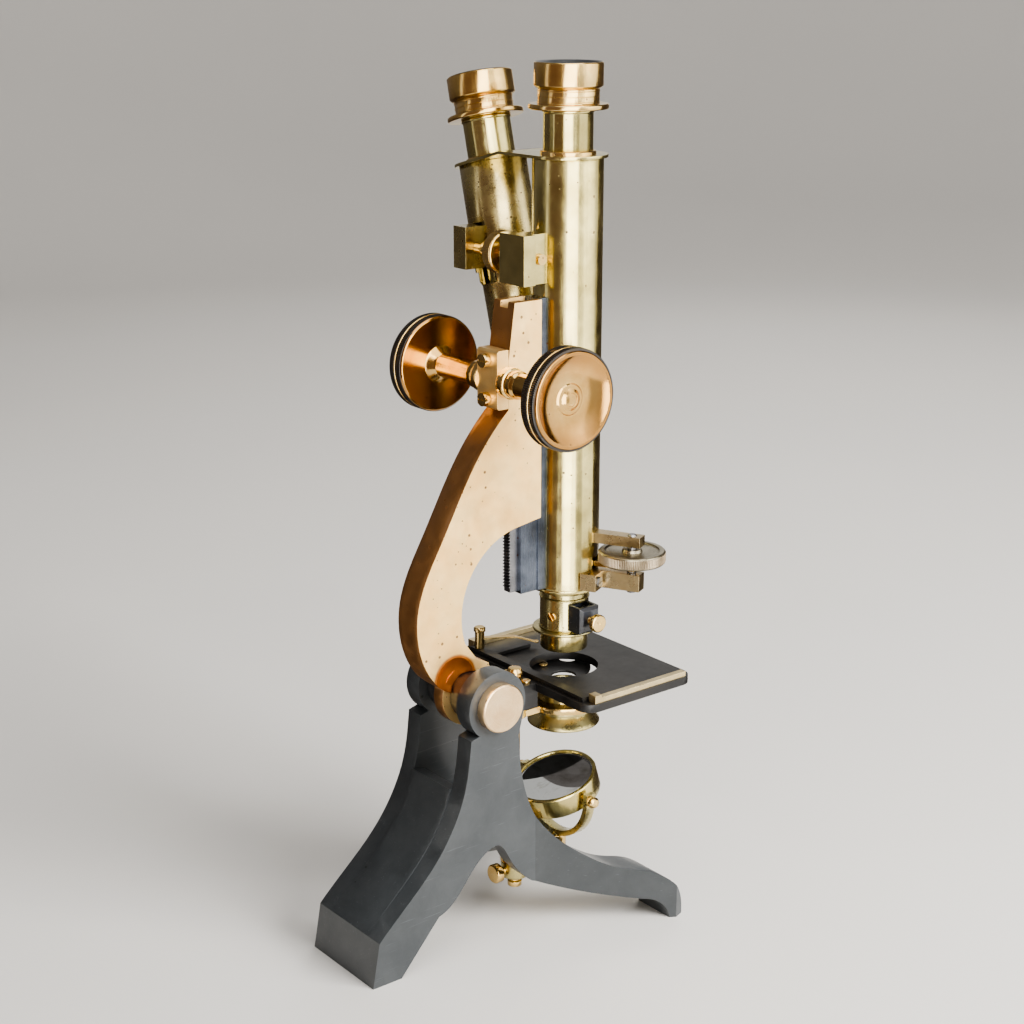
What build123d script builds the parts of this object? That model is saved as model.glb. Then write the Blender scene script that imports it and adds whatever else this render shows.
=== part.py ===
from build123d import *
from math import atan2, cos, degrees, pi, radians, sin
import os

os.makedirs("parts", exist_ok=True)

# A brass binocular microscope with a Wenham prism, on a black cast-iron foot.
# Millimetres, +Z up. +X points from the limb to the front of the stage, and +Y to the
# observer's left. Places below are measured from the optical axis at table level.

# Where the optical axis stands, so that the whole instrument is centred on the origin
AXIS_X = 46.5
AXIS_Y = -9.945

# Foot and trunnion
TRUNNION_X, TRUNNION_Z = -61.0, 122.0
SIDE_IN, SIDE_OUT = 15.0, 25.0
HEAD_R = 16.5
PIN_R, PIN_FIT = 6.0, 0.05
SCREW_HEAD_R, SCREW_HEAD_H = 11.7, 5.0
TOE_X, TOE_Y = 27.0, 62.0
WEB_TOP = 82.0

# Limb
LIMB_HALF = 7.5
TONGUE_HALF = 3.5
KNUCKLE_R, BOSS_R, SHOULDER_R = 16.0, 11.9, 12.2
SCOOP_X, SCOOP_Y, SCOOP_Z, SCOOP_R = -72.5, 18.0, 132.5, 15.0
LIMB_TOP = 306.0

# Body tubes
TUBE_R, TUBE_BORE = 16.5, 15.3
TUBE_BOTTOM, TUBE_TOP = 162.5, 368.6
PLATE_H = 1.4
PLATE_R = 18.6
SIDE_TILT = 14.5
SIDE_Z0 = 145.0
SIDE_SLEEVE_START, SIDE_SLEEVE_END = 172.5, 223.4
PLATE_BEND_Y = 28.0
SEAT_GAP = 0.02
SEAT_R = TUBE_BORE - SEAT_GAP

# Draw tubes and eyepieces
DRAW_R, DRAW_BORE = 11.6, 10.8
DRAW_FIT = 0.06
DRAW_LENGTH, DRAW_REACH = 92.0, 20.0
BUSH_LENGTH, BUSH_LIP = 16.0, 1.4
EYE_BARREL_R = 10.74
EYE_FLANGE_R, EYE_CAP_R, EYE_HOLE_R = 18.5, 16.0, 6.0

# Slide, rack and pinions
MODULE = 0.5
PINION_TEETH = 19
COARSE_X, COARSE_Z = -41.0, 270.0
COARSE_SHAFT_R, DRAW_SHAFT_R, SHAFT_FIT = 3.0, 2.5, 0.05
PINION_SEAT_R, PINION_POCKET_R = 5.4, 6.4
CAP_BACK, CAP_FRONT = -47.2, -40.6
RACK_PITCH_X = COARSE_X + MODULE * PINION_TEETH / 2
SLIDE_HALF, SADDLE_HALF, SLIDE_FIT = 4.6, 5.2, 0.08
SLIDE_BACK, SLIDE_FRONT = -31.0, -21.0
RACK_HALF = 2.4
SLIDE_BOTTOM = 165.0
RACK_BOTTOM, RACK_TOP = 166.0, 300.0
KNOB_R = 23.0
KNOB_IN, KNOB_OUT = 44.5, 55.0
DRAW_PINION_X, DRAW_PINION_Z = -20.5, 324.0
HOUSING_BACK, SIDE_HOUSING_BACK = -31.4, -27.5

# Nosepiece, prism box and fine focus
NOSE_R, NOSE_SLEEVE_R, NOSE_FIT = 12.0, 11.0, 0.05
THREAD_R, NOSE_BORE_R = 10.16, 9.6
NOSE_TOP, NOSE_DISC_Z, NOSE_END = 158.0, 140.0, 130.6
PRISM_HALF_X, PRISM_Z0, PRISM_Z1 = 6.0, 142.5, 155.5
FINE_X, FINE_Y = 16.0, -31.0
FINE_REACH = (FINE_X**2 + FINE_Y**2) ** 0.5
FINE_TURN = degrees(atan2(FINE_Y, FINE_X))
FINE_WHEEL_R, FINE_WHEEL_Z0, FINE_WHEEL_Z1 = 16.0, 178.6, 184.6
SPINDLE_R, SPINDLE_FIT = 2.2, 0.05
SPINDLE_TOP = 192.4
PRISM_FIT = 0.06

# Stage, substage and mirror
STAGE_Z0, STAGE_Z1 = 116.5, 120.5
STAGE_HOLE_R = 17.0
STAGE_LENGTH, STAGE_WIDTH, STAGE_CORNER = 68.0, 100.0, 7.0
RAIL_Y, RAIL_WIDTH = 46.0, 3.4
CLIP_X, CLIP_Y, CLIP_TURN = -22.5, 39.0, -24.0
CLIP_PIN_R, CLIP_PIN_FIT = 1.5, 0.05
ROD_X, ROD_R = -31.0, 2.6
RING_R, RING_Z = 19.5, 101.0
CONDENSER_R, CONDENSER_FIT, CONDENSER_BORE = 13.0, 0.05, 11.0
WHEEL_Y, WHEEL_R = 16.3, 24.0
WHEEL_PIN_R, WHEEL_PIN_FIT = 1.5, 0.05
COLLAR_FIT, COLLAR_NECK_R = 0.05, 4.5
MIRROR_X, MIRROR_Z, MIRROR_TILT = -4.0, 57.0, 18.0
CELL_R, CELL_H, CELL_BORE = 21.5, 11.0, 19.6
CELL_WEB_HALF = 1.0
MIRROR_R = 19.58
DISH_R, DISH_BOTTOM = 78.0, 2.1
FORK_R, FORK_THICK, FORK_STEM_R = 23.6, 2.8, 2.5
ARM_Z0, ARM_Z1 = 24.0, 30.2
TILT_PIN_R, TILT_PIN_FIT = 1.6, 0.06


def level(z, x=0.0, y=0.0):
    """A horizontal plane at height z, centred on (x, y) from the optical axis."""
    return Plane(origin=(AXIS_X + x, AXIS_Y + y, z), x_dir=(1, 0, 0), z_dir=(0, 0, 1))


def upright(y=0.0, x=0.0, z=0.0):
    """A vertical plane across Y, drawn with +X to the right and +Z up."""
    return Plane(origin=(AXIS_X + x, AXIS_Y + y, z), x_dir=(1, 0, 0), z_dir=(0, -1, 0))


def save(piece, name):
    """Label a finished piece and write its STEP."""
    piece.part.label = name
    export_step(piece.part, "parts/" + name + ".step")


def turned(plane, outline):
    """Add a solid of revolution: outline is (radius, height) on the plane, about its y axis."""
    with BuildSketch(plane) as half:
        with BuildLine():
            Polyline(*outline, close=True)
        make_face()
    revolve(half.sketch, axis=Axis(plane.origin, plane.y_dir))


def ring(plane, r_out, r_in, height, mode=Mode.ADD):
    """Add a flat ring, or a disc where r_in is 0, standing on the plane."""
    with BuildSketch(plane) as flat:
        Circle(r_out)
        if r_in > 0:
            Circle(r_in, mode=Mode.SUBTRACT)
    extrude(flat.sketch, amount=height, mode=mode)


def block(x, y, z, mode=Mode.ADD):
    """Add a box given by its low and high limits along each axis."""
    with BuildSketch(level(z[0], (x[0] + x[1]) / 2, (y[0] + y[1]) / 2)) as base:
        Rectangle(x[1] - x[0], y[1] - y[0])
    extrude(base.sketch, amount=z[1] - z[0], mode=mode)


def plate_along_y(outline, y0, y1, mode=Mode.ADD):
    """Add a closed (x, z) outline extruded from y0 to y1."""
    with BuildSketch(upright(y0)) as face:
        with BuildLine():
            Polyline(*outline, close=True)
        make_face()
    extrude(face.sketch, amount=y0 - y1, mode=mode)


# Planes that pieces turn about: local y is the turning axis
OPTICAL = upright()
TRUNNION = Plane(origin=(AXIS_X + TRUNNION_X, AXIS_Y, TRUNNION_Z), x_dir=(1, 0, 0), z_dir=(0, 0, 1))
COARSE = Plane(origin=(AXIS_X + COARSE_X, AXIS_Y, COARSE_Z), x_dir=(1, 0, 0), z_dir=(0, 0, 1))
DRAW_PINION = Plane(
    origin=(AXIS_X + DRAW_PINION_X, AXIS_Y, DRAW_PINION_Z), x_dir=(1, 0, 0), z_dir=(0, 0, 1)
)
LEAN_SIN, LEAN_COS = sin(radians(SIDE_TILT)), cos(radians(SIDE_TILT))
SIDE_AXIS = Plane(
    origin=(AXIS_X, AXIS_Y, SIDE_Z0), x_dir=(1, 0, 0), z_dir=(0, -LEAN_COS, LEAN_SIN)
)


def across(plane, distance):
    """A plane square to the turning axis of another, at a distance along it."""
    return Plane(origin=plane.origin + plane.y_dir * distance, x_dir=plane.x_dir, z_dir=plane.y_dir)


# ---------------------------------------------------------------- foot

with BuildPart() as foot_casting:
    # Side view of an upright with its front and rear legs
    with BuildSketch(upright()) as side_view:
        with BuildLine():
            Polyline((-45.2, 117), (-48.4, 104), (-47.4, 89))
            Spline(
                (-47.4, 89), (-42.8, 69.4), (-37, 57), (-26, 43.5), (-11, 32.5), (7, 26.5),
                tangents=((0.14, -1), (1, -0.15)),
            )
            ThreePointArc((7, 26.5), (21, 18.5), (TOE_X, 0))
            Line((TOE_X, 0), (19, 0))
            ThreePointArc((19, 0), (15.5, 8), (8, 11))
            Spline((8, 11), (-18, 17), (-40, 25))
            Spline((-40, 25), (-46, 30.5), (-53.4, 40.5), (-61, 50.4), (-70, 47.5), (-79, 38.5), (-96, 24.5))
            Polyline((-96, 24.5), (-118, 0), (-134, 0), (-130, 22))
            Spline((-130, 22), (-95, 55.5), (-81.4, 80), (-76.4, 108), tangents=((1, 1), (0.1, 1)))
            Line((-76.4, 108), (-45.2, 117))
        make_face()
        with Locations((TRUNNION_X, TRUNNION_Z)):
            Circle(HEAD_R)
    extrude(side_view.sketch, amount=TOE_Y + 8, both=True)
    # Plan view: straight side plates that splay outwards into the front legs
    with BuildSketch(level(0)) as plan:
        with BuildLine():
            Polyline(
                (-140, -SIDE_OUT), (-38, -SIDE_OUT), (22, -TOE_Y), (34, -TOE_Y + 4),
                (34, -TOE_Y + 18), (-36, -SIDE_IN), (-140, -SIDE_IN), close=True,
            )
        make_face()
        mirror(about=Plane.XZ)
    extrude(plan.sketch, amount=TRUNNION_Z + HEAD_R + 1, mode=Mode.INTERSECT)
    # Curved rear web that joins the two sides
    with BuildSketch(upright()) as web:
        with BuildLine():
            Line((-134, 0), (-130, 22))
            Spline((-130, 22), (-96, 55), (-82, WEB_TOP), tangents=((1, 1), (0.25, 1)))
            Line((-82, WEB_TOP), (-74.5, WEB_TOP - 2))
            Spline((-74.5, WEB_TOP - 2), (-88, 48), (-121, 10), tangents=((-0.25, -1), (-1, -1)))
            Polyline((-121, 10), (-118, 0), (-134, 0))
        make_face()
    extrude(web.sketch, amount=SIDE_IN + 0.01, both=True)
    with BuildSketch(across(TRUNNION, -SIDE_OUT)) as pin_bores:
        Circle(PIN_R)
    extrude(pin_bores.sketch, amount=2 * SIDE_OUT, mode=Mode.SUBTRACT)
save(foot_casting, "foot_casting")

with BuildPart() as trunnion_screws:
    for side in (-1, 1):
        turned(
            TRUNNION,
            [
                (0, side * 4.0), (PIN_R - 0.6, side * 4.0), (PIN_R, side * 4.6),
                (PIN_R, side * SIDE_OUT), (SCREW_HEAD_R, side * SIDE_OUT),
                (SCREW_HEAD_R, side * (SIDE_OUT + SCREW_HEAD_H - 0.6)),
                (SCREW_HEAD_R - 0.6, side * (SIDE_OUT + SCREW_HEAD_H)),
                (0, side * (SIDE_OUT + SCREW_HEAD_H)),
            ],
        )
save(trunnion_screws, "trunnion_screws")

# ---------------------------------------------------------------- limb

with BuildPart() as limb_arm:
    with BuildSketch(upright(-LIMB_HALF)) as limb_side:
        with BuildLine():
            Polyline((-52.4, 131), (-52.6, 136.2), (-60, 140.2), (-66.5, 149))
            ThreePointArc((-66.5, 149), (-59.5, 186), (-37, 199.5))
            Polyline((-37, 199.5), (-21.2, 202), (-21.2, LIMB_TOP), (-37, LIMB_TOP))
            Polyline((-37, LIMB_TOP), (-40.6, 280), (-40.6, 257))
            Spline((-40.6, 257), (-56, 240), (-79, 201), (-93, 170), (-87, 137.5), (-72, 124.5))
            Polyline((-72, 124.5), (-53.6, 124.5), (-52.4, 131))
        make_face()
    extrude(limb_side.sketch, amount=-2 * LIMB_HALF)
    # Shoulders round the trunnion bosses, a scoop beside them, and a thin round knuckle
    for side in (-1, 1):
        ring(across(TRUNNION, side * TONGUE_HALF), SHOULDER_R, 0, side * LIMB_HALF, Mode.SUBTRACT)
        with Locations((AXIS_X + SCOOP_X, AXIS_Y + side * SCOOP_Y, SCOOP_Z)):
            Sphere(SCOOP_R, mode=Mode.SUBTRACT)
    ring(across(TRUNNION, -TONGUE_HALF), KNUCKLE_R, 0, 2 * TONGUE_HALF)
    block((-55, -36), (-TONGUE_HALF, TONGUE_HALF), (109.5, 116.5))
    # Dovetail channel for the slide, the rack's slot behind it, and the pinion's seat
    channel_half = SLIDE_HALF + SLIDE_FIT
    block((SLIDE_BACK - SLIDE_FIT, -20), (-channel_half, channel_half), (190, 310), Mode.SUBTRACT)
    rack_slot = RACK_HALF + 0.4
    block((COARSE_X + 3.6, -30), (-rack_slot, rack_slot), (190, 310), Mode.SUBTRACT)
    ring(across(COARSE, -LIMB_HALF - 1), PINION_SEAT_R, 0, 2 * LIMB_HALF + 2, Mode.SUBTRACT)
save(limb_arm, "limb_arm")

with BuildPart() as trunnion_bosses:
    for side in (-1, 1):
        turned(
            TRUNNION,
            [
                (PIN_R + PIN_FIT, side * TONGUE_HALF), (BOSS_R, side * TONGUE_HALF),
                (BOSS_R, side * (SIDE_IN - 0.9)), (BOSS_R - 0.8, side * (SIDE_IN - 0.1)),
                (PIN_R + PIN_FIT, side * (SIDE_IN - 0.1)),
            ],
        )
save(trunnion_bosses, "trunnion_bosses")

with BuildPart() as pinion_cap:
    cap_outline = [
        (CAP_FRONT, 257.5), (CAP_BACK + 1, 257.5), (CAP_BACK, 258.5),
        (CAP_BACK, 284), (CAP_BACK + 1, 285), (CAP_FRONT, 285),
    ]
    plate_along_y(cap_outline, -LIMB_HALF, LIMB_HALF)
    ring(across(COARSE, -LIMB_HALF - 1), PINION_SEAT_R, 0, 2 * LIMB_HALF + 2, Mode.SUBTRACT)
save(pinion_cap, "pinion_cap")

with BuildPart() as pinion_cap_screws:
    for height in (262, 280):
        head = Plane(origin=(AXIS_X + CAP_BACK, AXIS_Y, height), x_dir=(0, 1, 0), z_dir=(-1, 0, 0))
        ring(head, 3.2, 0, 3.4)
        with BuildSketch(head.offset(2.4)) as slot:
            Rectangle(7, 0.9)
        extrude(slot.sketch, amount=2, mode=Mode.SUBTRACT)
save(pinion_cap_screws, "pinion_cap_screws")

with BuildPart() as pinion_bushes:
    for side in (-1, 1):
        turned(
            COARSE,
            [
                (COARSE_SHAFT_R + SHAFT_FIT, side * 3.4), (PINION_SEAT_R, side * 3.4),
                (PINION_SEAT_R, side * LIMB_HALF), (7.4, side * LIMB_HALF), (7.4, side * 11.5),
                (6.6, side * 12.3),
                (COARSE_SHAFT_R + SHAFT_FIT, side * 12.3),
            ],
        )
save(pinion_bushes, "pinion_bushes")

# ---------------------------------------------------------------- rack and pinion teeth


def tooth_points(root, tip, thickness):
    """Half-widths of a tooth from root to tip: a plain taper at 20 degrees."""
    slope = 0.364
    middle = (root + tip) / 2
    return thickness / 2 + slope * (middle - root), thickness / 2 - slope * (tip - middle)


ADDENDUM, DEDENDUM = 0.62 * MODULE, 1.1 * MODULE
TOOTH_THICKNESS = 0.40 * pi * MODULE


def pinion(plane, y0, y1, phase):
    """Add a small toothed pinion between y0 and y1 along the plane's turning axis."""
    pitch_r = MODULE * PINION_TEETH / 2
    root, tip = pitch_r - DEDENDUM, pitch_r + ADDENDUM
    wide, narrow = tooth_points(root, tip, TOOTH_THICKNESS)
    face = across(plane, y0)
    with BuildSketch(face) as gear:
        Circle(root + 0.02)
        with PolarLocations(0, PINION_TEETH, start_angle=phase):
            Polygon((root - 0.3, -wide), (tip, -narrow), (tip, narrow), (root - 0.3, wide), align=None)
    extrude(gear.sketch, amount=y1 - y0)


def rack_outline(x_base, x_pitch, z0, z1, z_phase):
    """Closed (x, z) outline of a rack whose teeth point to -X, with a gap centred on z_phase."""
    pitch = pi * MODULE
    root, tip = x_pitch + DEDENDUM, x_pitch - ADDENDUM
    wide, narrow = tooth_points(0, ADDENDUM + DEDENDUM, TOOTH_THICKNESS)
    first = int((z0 + 1 - z_phase) / pitch - 0.5) + 1
    last = int((z1 - 1 - z_phase) / pitch - 0.5)
    outline = [(x_base, z0), (root, z0)]
    for count in range(first, last):
        z = z_phase + (count + 0.5) * pitch
        outline += [(root, z - wide), (tip, z - narrow), (tip, z + narrow), (root, z + wide)]
    return outline + [(root, z1), (x_base, z1)]


with BuildPart() as coarse_pinion:
    ring(across(COARSE, -KNOB_OUT + 3), COARSE_SHAFT_R, 0, 2 * (KNOB_OUT - 3))
    pinion(COARSE, -RACK_HALF, RACK_HALF, 0)
save(coarse_pinion, "coarse_pinion")


DISH_RIM_R, DISH_IN_R, DISH_DEPTH = KNOB_R - 2.6, 7.4, 4.0


def knob(side):
    """Add a knob with a stem, a rim for the milling, a hollow dished face and a boss."""
    with BuildSketch(COARSE) as half:
        with BuildLine():
            Polyline(
                (COARSE_SHAFT_R, side * 12.6), (6.6, side * 12.6), (6.6, side * 16), (5.6, side * 17.5),
                (5.6, side * 41), (9, side * KNOB_IN), (KNOB_R - 1, side * KNOB_IN),
                (KNOB_R, side * (KNOB_IN + 1)), (KNOB_R, side * (KNOB_OUT - 2.6)),
                (KNOB_R - 0.9, side * (KNOB_OUT - 2.2)), (KNOB_R - 0.9, side * (KNOB_OUT - 0.6)),
                (KNOB_R - 1.5, side * KNOB_OUT), (DISH_RIM_R, side * KNOB_OUT),
            )
            ThreePointArc(
                (DISH_RIM_R, side * KNOB_OUT),
                ((DISH_RIM_R + DISH_IN_R) / 2, side * (KNOB_OUT - 0.76 * DISH_DEPTH)),
                (DISH_IN_R, side * (KNOB_OUT - DISH_DEPTH)),
            )
            Polyline(
                (DISH_IN_R, side * (KNOB_OUT - DISH_DEPTH)), (6.6, side * (KNOB_OUT - 3.2)),
                (5.2, side * (KNOB_OUT - 3.2)), (3.6, side * (KNOB_OUT - 2.2)),
                (COARSE_SHAFT_R, side * (KNOB_OUT - 2.2)), (COARSE_SHAFT_R, side * 12.6),
            )
        make_face()
    revolve(half.sketch, axis=Axis(COARSE.origin, COARSE.y_dir))


with BuildPart() as coarse_knob_right:
    knob(-1)
save(coarse_knob_right, "coarse_knob_right")

with BuildPart() as coarse_knob_left:
    knob(1)
save(coarse_knob_left, "coarse_knob_left")

# ---------------------------------------------------------------- body tubes


def light_path(mode=Mode.SUBTRACT):
    """The slanting way from the main tube into the side tube."""
    ring(across(SIDE_AXIS, 20), 10.0, 0, 150, mode)


with BuildPart() as main_tube:
    turned(
        OPTICAL,
        [
            (TUBE_BORE, TUBE_BOTTOM), (TUBE_R + 0.6, TUBE_BOTTOM), (TUBE_R + 0.6, TUBE_BOTTOM + 1.6),
            (TUBE_R, TUBE_BOTTOM + 2), (TUBE_R, TUBE_TOP), (TUBE_BORE, TUBE_TOP),
        ],
    )
    light_path()
    # Slots for the draw-tube pinion and for the fine-focus lever
    block((-18, -12), (-3, 3), (314, 334), Mode.SUBTRACT)
    with BuildSketch(level(173.2)) as lever_slot:
        with Locations(Rotation(0, 0, FINE_TURN)):
            with Locations((15, 0)):
                Rectangle(14, 7)
    extrude(lever_slot.sketch, amount=5.6, mode=Mode.SUBTRACT)
save(main_tube, "main_tube")

with BuildPart() as side_tube:
    turned(
        SIDE_AXIS,
        [
            (TUBE_BORE, SIDE_SLEEVE_START), (TUBE_R, SIDE_SLEEVE_START),
            (TUBE_R, SIDE_SLEEVE_END), (TUBE_BORE, SIDE_SLEEVE_END),
        ],
    )
    with BuildSketch(across(SIDE_AXIS, SIDE_SLEEVE_START - 1)) as pinion_slot:
        with Locations((-15, 0)):
            Rectangle(6, 12)
    extrude(pinion_slot.sketch, amount=24, mode=Mode.SUBTRACT)
save(side_tube, "side_tube")

with BuildPart() as side_tube_cone:
    turned(
        SIDE_AXIS,
        [
            (10.0, 26), (12.0, 26), (14.2, 166), (SEAT_R, 168),
            (SEAT_R, 180), (13.4, 180), (13.0, 166),
        ],
    )
    ring(level(140), TUBE_R, 0, 240, Mode.SUBTRACT)
    with BuildSketch(across(SIDE_AXIS, SIDE_SLEEVE_START - 6)) as pinion_relief:
        with Locations((-15, 0)):
            Rectangle(6, 12)
    extrude(pinion_relief.sketch, amount=30, mode=Mode.SUBTRACT)
save(side_tube_cone, "side_tube_cone")

with BuildPart() as top_plate:
    with BuildSketch(level(TUBE_TOP)) as flat_half:
        Circle(PLATE_R)
        with Locations((0, PLATE_BEND_Y / 2)):
            Rectangle(2 * PLATE_R, PLATE_BEND_Y)
        Circle(DRAW_R + BUSH_LIP, mode=Mode.SUBTRACT)
    extrude(flat_half.sketch, amount=PLATE_H)
    tilted = Plane(
        origin=(AXIS_X, AXIS_Y + PLATE_BEND_Y, TUBE_TOP),
        x_dir=(1, 0, 0), z_dir=(0, LEAN_SIN, LEAN_COS),
    )
    lap = PLATE_H * LEAN_SIN / LEAN_COS
    reach = (tilted.to_local_coords(across(SIDE_AXIS, SIDE_SLEEVE_END).origin)).Y
    with BuildSketch(tilted) as tilted_half:
        with Locations((0, (reach - lap) / 2)):
            Rectangle(2 * PLATE_R, reach + lap)
        with Locations((0, reach)):
            Circle(PLATE_R)
            Circle(DRAW_R + BUSH_LIP, mode=Mode.SUBTRACT)
    extrude(tilted_half.sketch, amount=PLATE_H)
save(top_plate, "top_plate")

with BuildPart() as tube_bushes:
    for plane, top in ((OPTICAL, TUBE_TOP), (SIDE_AXIS, SIDE_SLEEVE_END)):
        turned(
            plane,
            [
                (DRAW_R + DRAW_FIT, top - BUSH_LENGTH), (SEAT_R, top - BUSH_LENGTH),
                (SEAT_R, top - 0.4), (DRAW_R + BUSH_LIP - SEAT_GAP, top - 0.4),
                (DRAW_R + BUSH_LIP - SEAT_GAP, top + PLATE_H + 1.2), (DRAW_R + 0.9, top + PLATE_H + 1.7),
                (DRAW_R + DRAW_FIT, top + PLATE_H + 1.7),
            ],
        )
save(tube_bushes, "tube_bushes")

with BuildPart() as nose_bush:
    turned(
        OPTICAL,
        [
            (NOSE_SLEEVE_R + NOSE_FIT, 160.4), (13.4, 160.4), (13.4, TUBE_BOTTOM),
            (SEAT_R, TUBE_BOTTOM), (SEAT_R, 172.5),
            (NOSE_SLEEVE_R + NOSE_FIT, 172.5),
        ],
    )
save(nose_bush, "nose_bush")

with BuildPart() as tube_slide:
    block((SLIDE_FRONT, -14), (-SADDLE_HALF, SADDLE_HALF), (SLIDE_BOTTOM, 306))
    block((SLIDE_BACK, SLIDE_FRONT), (-SLIDE_HALF, SLIDE_HALF), (SLIDE_BOTTOM, 304))
    ring(level(160), TUBE_R, 0, 200, Mode.SUBTRACT)
save(tube_slide, "tube_slide")

with BuildPart() as tube_rack:
    outline = rack_outline(SLIDE_BACK, RACK_PITCH_X, RACK_BOTTOM, RACK_TOP, COARSE_Z)
    plate_along_y(outline, -RACK_HALF, RACK_HALF)
save(tube_rack, "tube_rack")

with BuildPart() as draw_pinion_housing_right:
    block((HOUSING_BACK, -24.6), (-7, 11), (312.5, 335.5))
    block((-25, -13), (-4.6, 4.6), (312.5, 335.5))
    ring(level(300), TUBE_R, 0, 50, Mode.SUBTRACT)
    ring(across(DRAW_PINION, 4.6), 4.0, DRAW_SHAFT_R + SHAFT_FIT, 10.4)
    ring(across(DRAW_PINION, -8), DRAW_SHAFT_R + SHAFT_FIT, 0, 24, Mode.SUBTRACT)
    ring(across(DRAW_PINION, -3.0), PINION_POCKET_R, 0, 6.0, Mode.SUBTRACT)
    block((-21, -13), (-3.0, 3.0), (317.5, 330.5), Mode.SUBTRACT)
save(draw_pinion_housing_right, "draw_pinion_housing_right")

SIDE_Y_AT_PINION = (DRAW_PINION_Z - SIDE_Z0) * LEAN_SIN / LEAN_COS
with BuildPart() as draw_pinion_housing_left:
    side_y = (SIDE_Y_AT_PINION - 4.6, SIDE_Y_AT_PINION + 5)
    block((SIDE_HOUSING_BACK, -13), side_y, (314, 334))
    ring(across(SIDE_AXIS, 150), TUBE_R, 0, 70, Mode.SUBTRACT)
    ring(across(DRAW_PINION, side_y[0] - 1), DRAW_SHAFT_R + SHAFT_FIT, 0, 13, Mode.SUBTRACT)
    ring(across(DRAW_PINION, SIDE_Y_AT_PINION - 2.6), PINION_POCKET_R, 0, 5.2, Mode.SUBTRACT)
    block((-21, -13), (SIDE_Y_AT_PINION - 2.6, SIDE_Y_AT_PINION + 2.6), (317.5, 330.5), Mode.SUBTRACT)
save(draw_pinion_housing_left, "draw_pinion_housing_left")

with BuildPart() as draw_pinion_shaft:
    ring(across(DRAW_PINION, -7), DRAW_SHAFT_R, 0, SIDE_Y_AT_PINION + 13)
    pinion(DRAW_PINION, -2.0, 2.0, 0)
    pinion(DRAW_PINION, SIDE_Y_AT_PINION - 1.5, SIDE_Y_AT_PINION + 1.5, 0)
save(draw_pinion_shaft, "draw_pinion_shaft")

with BuildPart() as draw_pinion_knob:
    turned(
        DRAW_PINION,
        [
            (DRAW_SHAFT_R, 16), (4.4, 16), (4.4, 19.4), (9.4, 19.4), (10, 20), (10, 25.4), (9.4, 26),
            (5.2, 26), (4.4, 27), (4.4, 34.4), (3.8, 35), (DRAW_SHAFT_R, 35),
        ],
    )
save(draw_pinion_knob, "draw_pinion_knob")

# ---------------------------------------------------------------- draw tubes and eyepieces

EYE_SEAT = {"right": TUBE_TOP + PLATE_H + DRAW_REACH, "left": SIDE_SLEEVE_END + PLATE_H + DRAW_REACH}
EYE_PLANES = {"right": OPTICAL, "left": SIDE_AXIS}

for hand in ("right", "left"):
    plane, seat = EYE_PLANES[hand], EYE_SEAT[hand]
    with BuildPart() as draw_tube:
        bottom = seat - DRAW_LENGTH
        turned(
            plane,
            [
                (DRAW_BORE, bottom), (DRAW_R, bottom), (DRAW_R, seat - 1.6), (DRAW_R + 0.5, seat - 1.2),
                (DRAW_R + 0.5, seat - 0.4), (DRAW_R + 0.1, seat), (DRAW_BORE, seat),
            ],
        )
    save(draw_tube, hand + "_draw_tube")

    with BuildPart() as eyepiece_barrel:
        turned(
            plane,
            [
                (EYE_BARREL_R - 1, seat - 30), (EYE_BARREL_R, seat - 30), (EYE_BARREL_R, seat),
                (EYE_FLANGE_R - 0.5, seat), (EYE_FLANGE_R, seat + 0.5), (EYE_FLANGE_R, seat + 2),
                (EYE_FLANGE_R - 0.5, seat + 2.5), (14.6, seat + 2.5), (14.2, seat + 3),
                (14.2, seat + 9), (8, seat + 9), (8, seat + 7), (EYE_BARREL_R - 1, seat + 4),
            ],
        )
    save(eyepiece_barrel, hand + "_eyepiece_barrel")

    with BuildPart() as eye_cap:
        turned(
            plane,
            [
                (EYE_HOLE_R, seat + 9.1), (14.6, seat + 9.1), (EYE_CAP_R, seat + 10.5),
                (EYE_CAP_R, seat + 20.4), (EYE_CAP_R - 0.6, seat + 21),
                (EYE_CAP_R - 1.4, seat + 20.6), (7.4, seat + 13.2), (EYE_HOLE_R, seat + 13.2),
            ],
        )
    save(eye_cap, hand + "_eye_cap")

    with BuildPart() as eyepiece_lenses:
        turned(
            plane,
            [
                (0, seat + 9.4), (EYE_HOLE_R - SEAT_GAP, seat + 9.4),
                (EYE_HOLE_R - SEAT_GAP, seat + 11.6), (3, seat + 12.6), (0, seat + 13),
            ],
        )
        field_r = EYE_BARREL_R - 1 - 2 * SEAT_GAP
        turned(
            plane,
            [
                (0, seat - 27), (field_r, seat - 27), (field_r, seat - 25.5), (5, seat - 23.6),
                (0, seat - 23),
            ],
        )
    save(eyepiece_lenses, hand + "_eyepiece_lenses")

# ---------------------------------------------------------------- nosepiece and prism

with BuildPart() as nosepiece:
    turned(
        OPTICAL,
        [
            (NOSE_BORE_R, NOSE_DISC_Z), (15.4, NOSE_DISC_Z), (15.6, NOSE_DISC_Z + 0.6),
            (15.4, NOSE_DISC_Z + 1.2), (NOSE_R, NOSE_DISC_Z + 1.4), (NOSE_R, NOSE_TOP - 1),
            (NOSE_SLEEVE_R, NOSE_TOP - 0.4), (NOSE_SLEEVE_R, 186), (NOSE_BORE_R, 186),
        ],
    )
    slot_half = PRISM_HALF_X + PRISM_FIT
    slot_z = (PRISM_Z0 - PRISM_FIT, PRISM_Z1 + PRISM_FIT)
    block((-slot_half, slot_half), (-20, 20), slot_z, Mode.SUBTRACT)
save(nosepiece, "nosepiece")

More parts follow.
